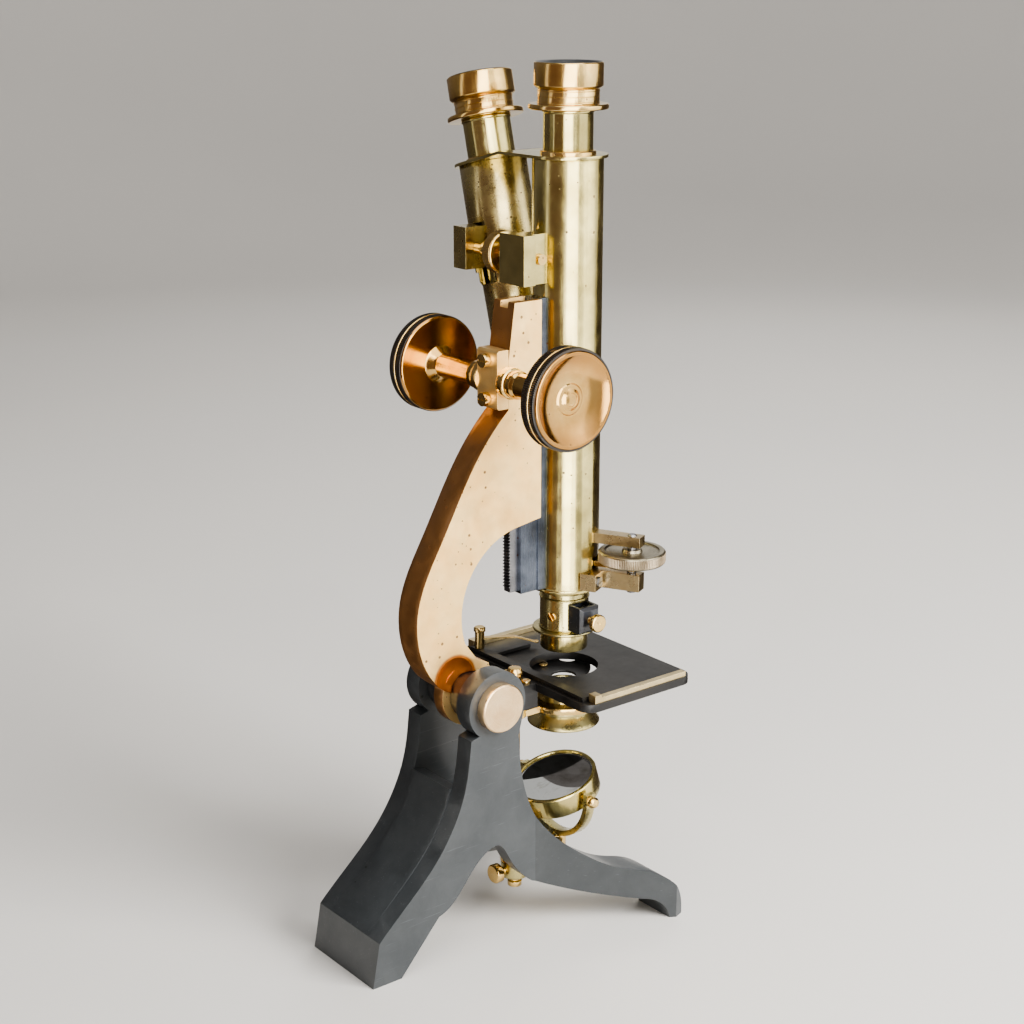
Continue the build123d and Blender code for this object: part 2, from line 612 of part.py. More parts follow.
with BuildPart() as nose_ring:
    turned(
        OPTICAL,
        [
            (THREAD_R, NOSE_END), (11.2, NOSE_END), (11.6, NOSE_END + 0.4), (11.6, NOSE_DISC_Z - 0.8),
            (11, NOSE_DISC_Z), (NOSE_BORE_R, NOSE_DISC_Z), (NOSE_BORE_R, NOSE_END + 7),
            (THREAD_R, NOSE_END + 7),
        ],
    )
save(nose_ring, "nose_ring")

with BuildPart() as fine_focus_lever:
    with BuildSketch(level(174.6)) as lever:
        with Locations(Rotation(0, 0, FINE_TURN)):
            with Locations((23, 0)):
                Rectangle(24, 5)
            with Locations((FINE_REACH, 0)):
                Circle(4)
                Circle(SPINDLE_R + SPINDLE_FIT, mode=Mode.SUBTRACT)
    extrude(lever.sketch, amount=2.6)
    ring(level(170), NOSE_SLEEVE_R, 0, 12, Mode.SUBTRACT)
save(fine_focus_lever, "fine_focus_lever")

with BuildPart() as prism_box:
    block((-PRISM_HALF_X, PRISM_HALF_X), (-20, 9), (PRISM_Z0, PRISM_Z1))
    chamfer(prism_box.faces().sort_by(Axis.Y)[0].edges(), 1.4)
    ring(level(PRISM_Z0 - 1), 5.0, 0, 20, Mode.SUBTRACT)
    with BuildSketch(level(PRISM_Z0 + 1.5, 0, -13)) as prism_pocket:
        Rectangle(9, 8)
    extrude(prism_pocket.sketch, amount=20, mode=Mode.SUBTRACT)
save(prism_box, "prism_box")

with BuildPart() as wenham_prism:
    prism_outline = [(-16.9, 145), (-9.1, 145), (-9.1, 150), (-12, 154), (-16.9, 152)]
    prism_face = Plane(origin=(AXIS_X - 4.4, AXIS_Y, 0), x_dir=(0, 1, 0), z_dir=(1, 0, 0))
    with BuildSketch(prism_face) as section:
        with BuildLine():
            Polyline(*prism_outline, close=True)
        make_face()
    extrude(section.sketch, amount=8.8)
save(wenham_prism, "wenham_prism")

with BuildPart() as prism_knob:
    knob_plane = Plane(
        origin=(AXIS_X, AXIS_Y - 20, (PRISM_Z0 + PRISM_Z1) / 2), x_dir=(1, 0, 0), z_dir=(0, 0, 1)
    )
    turned(
        knob_plane,
        [(0, 0), (2.2, 0), (1.6, -1.6), (1.6, -3), (4, -3.4), (4.4, -3.9), (4.4, -6), (3.9, -6.6), (0, -6.8)],
    )
save(prism_knob, "prism_knob")

# ---------------------------------------------------------------- fine focus


def fine_arm(z0, z1, block_out):
    """A radial arm from the tube to the fine-focus spindle, with a fixing block on the tube."""
    with BuildSketch(level(z0)) as arm:
        with Locations(Rotation(0, 0, FINE_TURN)):
            with Locations((27.5, 0)):
                Rectangle(25, 7)
            with Locations((FINE_REACH, 0)):
                Circle(SPINDLE_R + SPINDLE_FIT, mode=Mode.SUBTRACT)
            if block_out > 0:
                with Locations((17, -4)):
                    Rectangle(block_out, 16)
    extrude(arm.sketch, amount=z1 - z0)
    ring(level(z0 - 1), TUBE_R, 0, z1 - z0 + 2, Mode.SUBTRACT)


with BuildPart() as fine_upper_arm:
    fine_arm(186.6, 191.6, 0)
save(fine_upper_arm, "fine_upper_arm")

with BuildPart() as fine_lower_arm:
    fine_arm(164.6, 173.0, 8)
save(fine_lower_arm, "fine_lower_arm")

with BuildPart() as fine_arm_screw:
    screw_dir = Vector(FINE_X, FINE_Y, 0).normalized()
    cross_dir = Vector(screw_dir.Y, -screw_dir.X, 0)
    screw_seat = Vector(AXIS_X, AXIS_Y, 168.8) + screw_dir * 21 + cross_dir * 8
    seat_plane = Plane(origin=screw_seat, x_dir=cross_dir, z_dir=screw_dir)
    ring(seat_plane, 2.6, 0, 1.2)
    with BuildSketch(seat_plane.offset(0.6)) as screw_slot:
        Rectangle(6, 0.7)
    extrude(screw_slot.sketch, amount=1, mode=Mode.SUBTRACT)
save(fine_arm_screw, "fine_arm_screw")

FINE_AXIS = upright(FINE_Y, FINE_X)
with BuildPart() as fine_focus_spindle:
    turned(
        FINE_AXIS,
        [
            (0, 163.4), (SPINDLE_R, 163.4), (SPINDLE_R, SPINDLE_TOP - 0.6),
            (SPINDLE_R - 0.6, SPINDLE_TOP), (0, SPINDLE_TOP),
        ],
    )
save(fine_focus_spindle, "fine_focus_spindle")

with BuildPart() as fine_focus_wheel:
    turned(
        FINE_AXIS,
        [
            (SPINDLE_R, FINE_WHEEL_Z0), (FINE_WHEEL_R - 0.6, FINE_WHEEL_Z0),
            (FINE_WHEEL_R, FINE_WHEEL_Z0 + 0.6), (FINE_WHEEL_R, FINE_WHEEL_Z1 - 0.6),
            (FINE_WHEEL_R - 0.6, FINE_WHEEL_Z1), (13.4, FINE_WHEEL_Z1), (12.6, FINE_WHEEL_Z1 - 0.8),
            (5, FINE_WHEEL_Z1 - 0.8), (4.6, FINE_WHEEL_Z1 + 0.6), (SPINDLE_R, FINE_WHEEL_Z1 + 0.6),
        ],
    )
save(fine_focus_wheel, "fine_focus_wheel")

# ---------------------------------------------------------------- stage and substage

with BuildPart() as stage_bracket:
    block((-45.4, -25.5), (-11, 11), (108, STAGE_Z0))
    block((-46, -36), (-TONGUE_HALF, TONGUE_HALF), (109.5, STAGE_Z0 + 1), Mode.SUBTRACT)
    ring(level(100, ROD_X), ROD_R, 0, 20, Mode.SUBTRACT)
save(stage_bracket, "stage_bracket")

with BuildPart() as stage_plate:
    with BuildSketch(level(STAGE_Z0)) as stage_shape:
        with Locations((7, 0)):
            RectangleRounded(STAGE_LENGTH, STAGE_WIDTH, STAGE_CORNER)
        with Locations((-34, 0)):
            Rectangle(20, 22)
        Circle(STAGE_HOLE_R, mode=Mode.SUBTRACT)
        with Locations((ROD_X, 0)):
            Circle(ROD_R, mode=Mode.SUBTRACT)
    extrude(stage_shape.sketch, amount=STAGE_Z1 - STAGE_Z0)
save(stage_plate, "stage_plate")

with BuildPart() as stage_screws:
    for x, y in ((-40, -7.5), (-40, 7.5), (-30, -7.5), (-30, 7.5)):
        ring(level(STAGE_Z1, x, y), 2.2, 0, 1.2)
        with BuildSketch(level(STAGE_Z1 + 0.7, x, y)) as driver_slot:
            Rectangle(5, 0.6)
        extrude(driver_slot.sketch, amount=1, mode=Mode.SUBTRACT)
save(stage_screws, "stage_screws")

with BuildPart() as stage_rails:
    for side in (-1, 1):
        rail_y = sorted((side * RAIL_Y, side * (RAIL_Y + RAIL_WIDTH)))
        stop_y = sorted((side * (RAIL_Y - 1.5), side * (RAIL_Y + RAIL_WIDTH)))
        block((-20, 36), rail_y, (STAGE_Z1, STAGE_Z1 + 2.6))
        block((-22, -18), stop_y, (STAGE_Z1, STAGE_Z1 + 4))
save(stage_rails, "stage_rails")

with BuildPart() as slide_carrier:
    block((-25, -20), (-RAIL_Y + 2.2, RAIL_Y - 2.2), (STAGE_Z1 + 0.1, STAGE_Z1 + 2.2))
    block((-24, 2), (28.5, 31.5), (STAGE_Z1 + 0.1, STAGE_Z1 + 1.8))
    ring(level(STAGE_Z1, CLIP_X, CLIP_Y), CLIP_PIN_R + CLIP_PIN_FIT, 0, 5, Mode.SUBTRACT)
save(slide_carrier, "slide_carrier")

# A leaf spring: a bent strip in side view, cut to its outline in plan
with BuildPart() as clip_spring:
    plate_along_y(
        [
            (-24, STAGE_Z1 + 7.2), (-6, STAGE_Z1 + 6.4), (4.5, STAGE_Z1 + 2.4), (9, STAGE_Z1 + 3.4),
            (9, STAGE_Z1 + 4.2), (4.5, STAGE_Z1 + 3.2), (-5.7, STAGE_Z1 + 7.2), (-24, STAGE_Z1 + 8),
        ],
        20, 50,
    )
    with BuildSketch(level(0, CLIP_X, CLIP_Y)) as strip_plan:
        with Locations(Rotation(0, 0, CLIP_TURN)):
            with Locations((14, 0)):
                Rectangle(30, 3.2)
            with Locations((29, 0)):
                Circle(1.6)
    extrude(strip_plan.sketch, amount=200, mode=Mode.INTERSECT)

with BuildPart() as stage_clip:
    turned(
        upright(CLIP_Y, CLIP_X),
        [
            (0, STAGE_Z1 + 0.3), (CLIP_PIN_R, STAGE_Z1 + 0.3), (CLIP_PIN_R, STAGE_Z1 + 2.4),
            (2.4, STAGE_Z1 + 2.4), (2.4, STAGE_Z1 + 11), (3.0, STAGE_Z1 + 11.4),
            (3.0, STAGE_Z1 + 13), (2.4, STAGE_Z1 + 13.6), (0, STAGE_Z1 + 13.6),
        ],
    )
    add(clip_spring.part)
save(stage_clip, "stage_clip")

with BuildPart() as diaphragm_wheel:
    with BuildSketch(level(113.6, 0, WHEEL_Y)) as stops:
        Circle(WHEEL_R)
        for turn, radius in ((-90, 6.0), (0, 4.5), (90, 3.0), (180, 2.0)):
            with PolarLocations(WHEEL_Y, 1, start_angle=turn):
                Circle(radius, mode=Mode.SUBTRACT)
    extrude(stops.sketch, amount=1.2)
    ring(level(112.6, 0, WHEEL_Y), 3.2, 0, 2.2)
    ring(level(112, 0, WHEEL_Y), WHEEL_PIN_R + WHEEL_PIN_FIT, 0, 4, Mode.SUBTRACT)
save(diaphragm_wheel, "diaphragm_wheel")

with BuildPart() as tail_rod:
    turned(
        upright(0, ROD_X),
        [
            (0, 10), (3.6, 10), (3.6, 12.4), (ROD_R, 13), (ROD_R, STAGE_Z1 + 0.02), (4, STAGE_Z1 + 0.02),
            (4, STAGE_Z1 + 4), (3, STAGE_Z1 + 5.6), (0, STAGE_Z1 + 6),
        ],
    )
save(tail_rod, "tail_rod")

with BuildPart() as substage_ring:
    with BuildSketch(level(RING_Z)) as holder:
        Circle(RING_R)
        with Locations((ROD_X / 2 - 5, 0)):
            Rectangle(abs(ROD_X) - 8, 9)
        with Locations((ROD_X, 0)):
            Circle(5.6)
            Circle(ROD_R, mode=Mode.SUBTRACT)
        Circle(CONDENSER_R + CONDENSER_FIT, mode=Mode.SUBTRACT)
    extrude(holder.sketch, amount=3.2)
    ring(level(RING_Z, ROD_X), 5.6, ROD_R, 6.6)
    # Post that the wheel of stops turns on
    turned(
        upright(WHEEL_Y, 0),
        [
            (0, 103), (2.6, 103), (2.6, 112.4), (WHEEL_PIN_R, 112.5), (WHEEL_PIN_R, 115),
            (2.6, 115.1), (2.6, 116), (0, 116.2),
        ],
    )
save(substage_ring, "substage_ring")

with BuildPart() as condenser_mount:
    turned(
        OPTICAL,
        [
            (CONDENSER_BORE, 93), (16.8, 91), (18, 91.3), (18, 92.2), (13.6, 97.4), (15, 97.8),
            (15, 99.6), (CONDENSER_R, 100), (CONDENSER_R, 109.4), (CONDENSER_R - 0.6, 110),
            (CONDENSER_BORE, 110),
        ],
    )
save(condenser_mount, "condenser_mount")

with BuildPart() as condenser_lenses:
    lens_r = CONDENSER_BORE - SEAT_GAP
    turned(OPTICAL, [(0, 104.6), (lens_r, 104.6), (lens_r, 106), (6, 108.4), (0, 109.2)])
    turned(OPTICAL, [(0, 94.6), (lens_r, 96.8), (lens_r, 98), (0, 98)])
save(condenser_lenses, "condenser_lenses")

# ---------------------------------------------------------------- mirror

with BuildPart() as mirror_collar:
    turned(
        upright(0, ROD_X),
        [
            (ROD_R + COLLAR_FIT, 15.4), (6.4, 15.4), (7, 16), (7, 23.2), (6.4, 23.8),
            (COLLAR_NECK_R, 23.8), (COLLAR_NECK_R, 31.4), (5.6, 31.4), (5.6, 33),
            (ROD_R + COLLAR_FIT, 33),
        ],
    )
save(mirror_collar, "mirror_collar")

with BuildPart() as collar_clamp_screw:
    clamp = Plane(origin=(AXIS_X + ROD_X - 7, AXIS_Y, 19.6), x_dir=(0, 0, 1), z_dir=(0, -1, 0))
    turned(clamp, [(0, 0), (2, 0), (2, 2), (4.2, 2.6), (4.8, 3.2), (4.8, 6.4), (4.2, 7), (0, 7.2)])
save(collar_clamp_screw, "collar_clamp_screw")

with BuildPart() as mirror_arm:
    with BuildSketch(level(ARM_Z0)) as arm_plan:
        with Locations((ROD_X, 0)):
            Circle(7.4)
        with Locations((MIRROR_X, 0)):
            Circle(5)
        with Locations(((ROD_X + MIRROR_X) / 2, 0)):
            Rectangle(MIRROR_X - ROD_X, 7)
        with Locations((ROD_X, 0)):
            Circle(COLLAR_NECK_R + COLLAR_FIT, mode=Mode.SUBTRACT)
        with Locations((MIRROR_X, 0)):
            Circle(FORK_STEM_R + COLLAR_FIT, mode=Mode.SUBTRACT)
    extrude(arm_plan.sketch, amount=ARM_Z1 - ARM_Z0)
save(mirror_arm, "mirror_arm")

FORK_PLANE = Plane(
    origin=(AXIS_X + MIRROR_X, AXIS_Y, MIRROR_Z), x_dir=(0, 1, 0), z_dir=(1, 0, 0)
)
with BuildPart() as mirror_fork:
    with BuildSketch(FORK_PLANE.offset(-2.6)) as fork_shape:
        Circle(FORK_R + FORK_THICK)
        Circle(FORK_R, mode=Mode.SUBTRACT)
        with Locations((0, 20)):
            Rectangle(80, 40, mode=Mode.SUBTRACT)
        for side in (-1, 1):
            with Locations((side * (FORK_R + FORK_THICK / 2), 0)):
                Rectangle(FORK_THICK, 7)
    extrude(fork_shape.sketch, amount=5.2)
    fork_bottom = MIRROR_Z - FORK_R - 1
    turned(
        upright(0, MIRROR_X),
        [
            (0, 21.4), (3.6, 21.4), (3.6, 23.8), (FORK_STEM_R, 23.8), (FORK_STEM_R, ARM_Z1 + 0.1),
            (4, ARM_Z1 + 0.1), (3, fork_bottom), (0, fork_bottom),
        ],
    )
    tilt_axis = Plane(origin=FORK_PLANE.origin, x_dir=(1, 0, 0), z_dir=(0, 0, 1))
    ring(across(tilt_axis, -30), TILT_PIN_R, 0, 60, Mode.SUBTRACT)
save(mirror_fork, "mirror_fork")

with BuildPart() as mirror_pivot_screws:
    for side in (-1, 1):
        turned(
            tilt_axis,
            [
                (0, side * 19.8), (TILT_PIN_R, side * 19.8), (TILT_PIN_R, side * 26.4), (2.6, side * 26.4),
                (3.0, side * 27.6), (2.9, side * 29), (2.0, side * 30.2), (0, side * 30.7),
            ],
        )
save(mirror_pivot_screws, "mirror_pivot_screws")

TILT_SIN, TILT_COS = sin(radians(MIRROR_TILT)), cos(radians(MIRROR_TILT))
MIRROR_AXIS = Plane(
    origin=FORK_PLANE.origin, x_dir=(0, 1, 0), z_dir=(TILT_COS, 0, TILT_SIN)
)
with BuildPart() as mirror_cell:
    turned(
        MIRROR_AXIS,
        [
            (0, -CELL_WEB_HALF), (CELL_BORE, -CELL_WEB_HALF), (CELL_BORE, -CELL_H / 2),
            (CELL_R - 0.6, -CELL_H / 2), (CELL_R, -CELL_H / 2 + 0.6), (CELL_R, CELL_H / 2 - 0.6),
            (CELL_R - 0.6, CELL_H / 2), (CELL_BORE, CELL_H / 2), (CELL_BORE, CELL_WEB_HALF),
            (0, CELL_WEB_HALF),
        ],
    )
    for side in (-1, 1):
        pin_end = across(tilt_axis, side * (CELL_BORE + SEAT_GAP))
        ring(pin_end, TILT_PIN_R + TILT_PIN_FIT, 0, side * 3, Mode.SUBTRACT)
save(mirror_cell, "mirror_cell")

with BuildPart() as concave_mirror:
    ring(across(MIRROR_AXIS, CELL_WEB_HALF + SEAT_GAP), MIRROR_R, 0, 4)
    with Locations(across(MIRROR_AXIS, DISH_BOTTOM + DISH_R)):
        Sphere(DISH_R, mode=Mode.SUBTRACT)
save(concave_mirror, "concave_mirror")

with BuildPart() as plane_mirror:
    ring(across(MIRROR_AXIS, -3.4), MIRROR_R, 0, 2.3)
save(plane_mirror, "plane_mirror")
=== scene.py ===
from math import cos, pi, radians, sin

import bmesh
import bpy
from mathutils import Matrix, Vector


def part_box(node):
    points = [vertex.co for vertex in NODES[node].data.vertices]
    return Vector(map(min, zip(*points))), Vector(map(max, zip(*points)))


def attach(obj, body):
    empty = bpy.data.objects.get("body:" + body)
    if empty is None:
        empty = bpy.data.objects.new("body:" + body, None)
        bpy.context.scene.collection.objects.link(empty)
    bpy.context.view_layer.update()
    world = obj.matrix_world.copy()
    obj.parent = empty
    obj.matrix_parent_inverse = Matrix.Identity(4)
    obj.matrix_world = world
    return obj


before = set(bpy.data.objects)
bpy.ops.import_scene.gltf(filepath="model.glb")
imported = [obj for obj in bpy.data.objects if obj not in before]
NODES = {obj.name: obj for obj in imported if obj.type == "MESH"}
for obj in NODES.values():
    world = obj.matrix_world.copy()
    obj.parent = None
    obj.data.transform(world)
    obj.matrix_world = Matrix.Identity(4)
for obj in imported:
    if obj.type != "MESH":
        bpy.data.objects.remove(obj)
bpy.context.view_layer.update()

# Everything is in metres in the CAD frame: +Z up, +X to the front of the stage, +Y to the
# observer's left. The instrument stands on z = 0. Colours are linear, and lengths that are
# multiplied by MM are in millimetres.
MM = 0.001


def centre(node):
    """Middle of a CAD node's box."""
    low, high = (Vector(corner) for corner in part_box(node))
    return (low + high) / 2


AXIS = centre("main_tube")
AXIS_XY = Vector((AXIS.x, AXIS.y, 0))

# Colours of age that several materials share, and last two colours of painted shade: for the limb's scoops
# and for its narrow faces
TARNISH = (0.07, 0.04, 0.018)
TURNED_TARNISH = (0.06, 0.035, 0.02)
RUST = (0.09, 0.04, 0.02)
SCOOP_SHADE = (0.50, 0.17, 0.035)
NARROW_FACE_SHADE = (0.30, 0.13, 0.045)
# Refractive index of a clear coat and of optical glass
COAT_IOR = 1.5
GLASS_IOR = 1.52

# ---------------------------------------------------------------- node helpers


class Graph:
    """A short way to write a material's nodes."""

    def __init__(self, name):
        self.material = bpy.data.materials.new(name)
        self.material.use_nodes = True
        self.nodes = self.material.node_tree.nodes
        self.links = self.material.node_tree.links
        self.shader = self.nodes["Principled BSDF"]
        self.coords = self.nodes.new("ShaderNodeTexCoord").outputs["Object"]

    def link(self, source, target):
        self.links.new(source, target)

    def set(self, **values):
        for key, value in values.items():
            self.shader.inputs[key.replace("_", " ")].default_value = value

    def stretched(self, scale):
        """Object coordinates scaled by a different number along each axis."""
        mapping = self.nodes.new("ShaderNodeMapping")
        mapping.inputs["Scale"].default_value = scale
        self.link(self.coords, mapping.inputs["Vector"])
        return mapping.outputs["Vector"]

    def noise(self, scale, detail=4.0, rough=0.55, vector=None, distortion=0.0):
        node = self.nodes.new("ShaderNodeTexNoise")
        node.inputs["Scale"].default_value = scale
        node.inputs["Detail"].default_value = detail
        node.inputs["Roughness"].default_value = rough
        node.inputs["Distortion"].default_value = distortion
        self.link(vector or self.coords, node.inputs["Vector"])
        return node.outputs["Fac"]

    def cells(self, scale):
        node = self.nodes.new("ShaderNodeTexVoronoi")
        node.inputs["Scale"].default_value = scale
        self.link(self.coords, node.inputs["Vector"])
        return node

    def ramp(self, source, stops):
        """Map a factor through (position, colour or value) stops."""
        node = self.nodes.new("ShaderNodeValToRGB")
        elements = node.color_ramp.elements
        while len(elements) > len(stops):
            elements.remove(elements[-1])
        while len(elements) < len(stops):
            elements.new(0.5)
        for element, (position, value) in zip(elements, stops):
            element.position = position
            colour = value if isinstance(value, (tuple, list)) else (value, value, value)
            element.color = (*colour, 1.0)
        self.link(source, node.inputs["Fac"])
        return node.outputs["Color"]

    def spread(self, source, low, high, from_low=0.3, from_high=0.7):
        """Map a factor's middle range to low..high."""
        node = self.nodes.new("ShaderNodeMapRange")
        node.inputs["From Min"].default_value = from_low
        node.inputs["From Max"].default_value = from_high
        node.inputs["To Min"].default_value = low
        node.inputs["To Max"].default_value = high
        self.link(source, node.inputs["Value"])
        return node.outputs["Result"]

    def math(self, operation, first, second=0.0):
        node = self.nodes.new("ShaderNodeMath")
        node.operation = operation
        for index, value in enumerate((first, second)):
            if hasattr(value, "node"):
                self.link(value, node.inputs[index])
            else:
                node.inputs[index].default_value = value
        return node.outputs["Value"]

    def mix(self, factor, first, second):
        """Mix two colours, each a socket or a tuple."""
        node = self.nodes.new("ShaderNodeMix")
        node.data_type = "RGBA"
        self.link(factor, node.inputs[0])
        for socket, value in ((node.inputs[6], first), (node.inputs[7], second)):
            if hasattr(value, "node"):
                self.link(value, socket)
            else:
                socket.default_value = (*value, 1.0)
        return node.outputs[2]

    def bump(self, height, strength, distance, below=None):
        node = self.nodes.new("ShaderNodeBump")
        node.inputs["Strength"].default_value = strength
        node.inputs["Distance"].default_value = distance
        self.link(height, node.inputs["Height"])
        if below is not None:
            self.link(below, node.inputs["Normal"])
        return node.outputs["Normal"]

    def distance(self, place):
        """Distance from a place, with both sides of the limb's middle plane counted alike."""
        folded = self.nodes.new("ShaderNodeVectorMath")
        folded.operation = "SUBTRACT"
        self.link(self.coords, folded.inputs[0])
        folded.inputs[1].default_value = (0.0, AXIS.y, 0.0)
        whole = self.nodes.new("ShaderNodeVectorMath")
        whole.operation = "ABSOLUTE"
        self.link(folded.outputs["Vector"], whole.inputs[0])
        parts = self.nodes.new("ShaderNodeVectorMath")
        parts.operation = "DISTANCE"
        self.link(whole.outputs["Vector"], parts.inputs[0])
        parts.inputs[1].default_value = tuple(abs(value) for value in place)
        return parts.outputs["Value"]

    def broadside(self):
        """How squarely a face looks along Y, from 0 to 1."""
        parts = self.nodes.new("ShaderNodeSeparateXYZ")
        self.link(self.coords.node.outputs["Normal"], parts.inputs["Vector"])
        return self.math("ABSOLUTE", parts.outputs["Y"])

    def spots(self, scale, size, share):
        """Small round spots: 1 in a spot, 0 elsewhere. share is the part of cells with one."""
        cells = self.cells(scale)
        parts = self.nodes.new("ShaderNodeSeparateColor")
        self.link(cells.outputs["Color"], parts.inputs["Color"])
        reach = self.spread(parts.outputs["Green"], size * 0.35, size, 0.0, 1.0)
        near = self.math("LESS_THAN", cells.outputs["Distance"], reach)
        chosen = self.math("LESS_THAN", parts.outputs["Red"], share)
        return self.math("MULTIPLY", near, chosen)

    def finish(self, colour, rough, normal=None):
        self.link(colour, self.shader.inputs["Base Color"])
        self.link(rough, self.shader.inputs["Roughness"])
        if normal is not None:
            self.link(normal, self.shader.inputs["Normal"])
        return self.material


def brass(
    name, bright, deep, rough, brushed,
    spots=0.35, lacquer=0.5, grain=0.08, metal=1.0, hollow=None, edges=None,
):
    """Lacquered brass: cloudy colour, tarnish spots, fine draw marks and a clear coat.

    hollow is (centre, near, far) of a pair of scoops either side of the middle plane, which are painted a
    darker orange as painted shade. edges is a darker colour painted on faces that don't look along Y, as
    painted shade for the dark reflection they catch."""
    graph = Graph(name)
    cloud = graph.noise(55.0, 5.0, 0.6)
    tint = graph.ramp(cloud, [(0.34, deep), (0.62, bright)])
    stain = graph.spread(graph.noise(22.0, 6.0, 0.7, distortion=0.6), 0.0, 0.55, 0.56, 0.78)
    tint = graph.mix(stain, tint, tuple(0.62 * value for value in deep))
    fine = graph.spots(420.0, 0.20, spots * 0.25)
    large = graph.spots(230.0, 0.16, spots * 0.5)
    marks = graph.math("MULTIPLY", graph.math("MAXIMUM", fine, large), 0.82)
    tint = graph.mix(marks, tint, TARNISH)
    # Painted shade: faces that don't look along Y are darkened towards the edges colour
    if edges:
        tint = graph.mix(graph.spread(graph.broadside(), 0.9, 0.0, 0.55, 0.85), tint, edges)
    # Painted shade: the scoops are darkened towards a deeper orange
    if hollow:
        place, near, far = hollow
        mask = graph.spread(graph.distance(place), 1.0, 0.0, near, far)
        tint = graph.mix(mask, tint, SCOOP_SHADE)
    lines = graph.noise(1.0, 3.0, 0.5, graph.stretched(brushed))
    base = graph.spread(graph.noise(130.0, 4.0, 0.6), rough * 0.8, rough * 1.35)
    roughness = graph.math("ADD", base, graph.math("MULTIPLY", marks, 0.4))
    roughness = graph.math("ADD", roughness, graph.spread(stain, 0.0, 0.10, 0.0, 0.5))
    normal = graph.bump(lines, grain, 0.00012)
    normal = graph.bump(graph.noise(420.0, 3.0, 0.5), 0.05, 0.0002, normal)
    normal = graph.bump(graph.math("MULTIPLY", marks, -1.0), 0.5, 0.0001, normal)
    graph.set(Metallic=metal, Coat_Weight=lacquer, Coat_Roughness=0.12, Coat_IOR=COAT_IOR)
    return graph.finish(tint, roughness, normal)


def turned_brass(name, bright, deep, rough, middle, axis, step, outer=None):
    """Brass faced on a lathe: fine rings about an axis and a lustre that follows them.

    middle is a point on the axis, and step the width of one ring. outer is (near, far, colour) of a darker,
    redder zone that begins between two radii: painted shade for a dish's sloped outer part."""
    graph = Graph(name)
    shift = graph.nodes.new("ShaderNodeVectorMath")
    shift.operation = "SUBTRACT"
    graph.link(graph.coords, shift.inputs[0])
    shift.inputs[1].default_value = middle
    flat = graph.nodes.new("ShaderNodeVectorMath")
    flat.operation = "MULTIPLY"
    graph.link(shift.outputs["Vector"], flat.inputs[0])
    flat.inputs[1].default_value = tuple(1.0 - abs(value) for value in axis)
    distance = graph.nodes.new("ShaderNodeVectorMath")
    distance.operation = "LENGTH"
    graph.link(flat.outputs["Vector"], distance.inputs[0])
    radius = distance.outputs["Value"]
    rings = graph.noise(1.0, 3.0, 0.6)
    rings.node.noise_dimensions = "1D"
    graph.link(graph.math("MULTIPLY", radius, 1.0 / step), rings.node.inputs["W"])
    cloud = graph.noise(70.0, 5.0, 0.6)
    tint = graph.ramp(cloud, [(0.34, deep), (0.62, bright)])
    tint = graph.mix(graph.spread(rings, 0.0, 0.35), tint, deep)
    # Painted shade: the outer zone turns darker and redder from near to far
    if outer:
        near, far, colour = outer
        tint = graph.mix(graph.spread(radius, 0.0, 0.75, near, far), tint, colour)
    marks = graph.spots(300.0, 0.15, 0.1)
    tint = graph.mix(marks, tint, TURNED_TARNISH)
    base = graph.spread(rings, rough * 0.75, rough * 1.4)
    roughness = graph.math("ADD", base, graph.math("MULTIPLY", marks, 0.35))
    normal = graph.bump(rings, 0.10, 0.00012)
    normal = graph.bump(graph.noise(500.0, 3.0, 0.5), 0.05, 0.0001, normal)
    tangent = graph.nodes.new("ShaderNodeTangent")
    tangent.direction_type = "RADIAL"
    tangent.axis = "XYZ"[axis.index(1)]
    graph.link(tangent.outputs["Tangent"], graph.shader.inputs["Tangent"])
    graph.set(Metallic=1.0, Anisotropic=0.2, Coat_Weight=0.35, Coat_Roughness=0.10, Coat_IOR=COAT_IOR)
    return graph.finish(tint, roughness, normal)


def steel(name, bright, deep, rough, brushed=(900.0, 900.0, 60.0)):
    """Bare or blued steel: long draw marks, cloudy oxide and pin-prick rust."""
    graph = Graph(name)
    cloud = graph.noise(65.0, 5.0, 0.6)
    tint = graph.ramp(cloud, [(0.35, deep), (0.65, bright)])
    marks = graph.spots(330.0, 0.16, 0.14)
    tint = graph.mix(marks, tint, RUST)
    lines = graph.noise(1.0, 3.0, 0.5, graph.stretched(brushed))
    base = graph.spread(lines, rough * 0.8, rough * 1.4)
    roughness = graph.math("ADD", base, graph.math("MULTIPLY", marks, 0.3))
    normal = graph.bump(lines, 0.12, 0.0001)
    graph.set(Metallic=1.0)
    return graph.finish(tint, roughness, normal)


def enamel(name, base, worn, rough, coat, grain):
    """Old black enamel or lacquer: soft orange peel, dusty bloom, fine scratches and chips."""
    graph = Graph(name)
    bloom = graph.noise(38.0, 6.0, 0.65, distortion=0.4)
    tint = graph.ramp(bloom, [(0.35, base), (0.68, worn)])
    scratch = graph.noise(1.0, 2.0, 0.5, graph.stretched((55.0, 700.0, 1400.0)))
    scratches = graph.spread(scratch, 0.0, 0.30, 0.66, 0.74)
    tint = graph.mix(scratches, tint, tuple(min(1.0, value * 2.4 + 0.02) for value in worn))
    marks = graph.spots(170.0, 0.14, 0.09)
    tint = graph.mix(marks, tint, tuple(value * 0.4 for value in base))
    roughness = graph.spread(graph.noise(90.0, 5.0, 0.6), rough * 0.82, rough * 1.25)
    roughness = graph.math("ADD", roughness, graph.math("MULTIPLY", scratches, 0.3))
    normal = graph.bump(graph.noise(grain, 3.0, 0.5), 0.12, 0.00025)
    normal = graph.bump(graph.math("MULTIPLY", marks, -1.0), 0.4, 0.00012, normal)
    graph.set(Metallic=0.0, Coat_Weight=coat, Coat_Roughness=0.16, Coat_IOR=COAT_IOR, Specular_IOR_Level=0.5)
    return graph.finish(tint, roughness, normal)


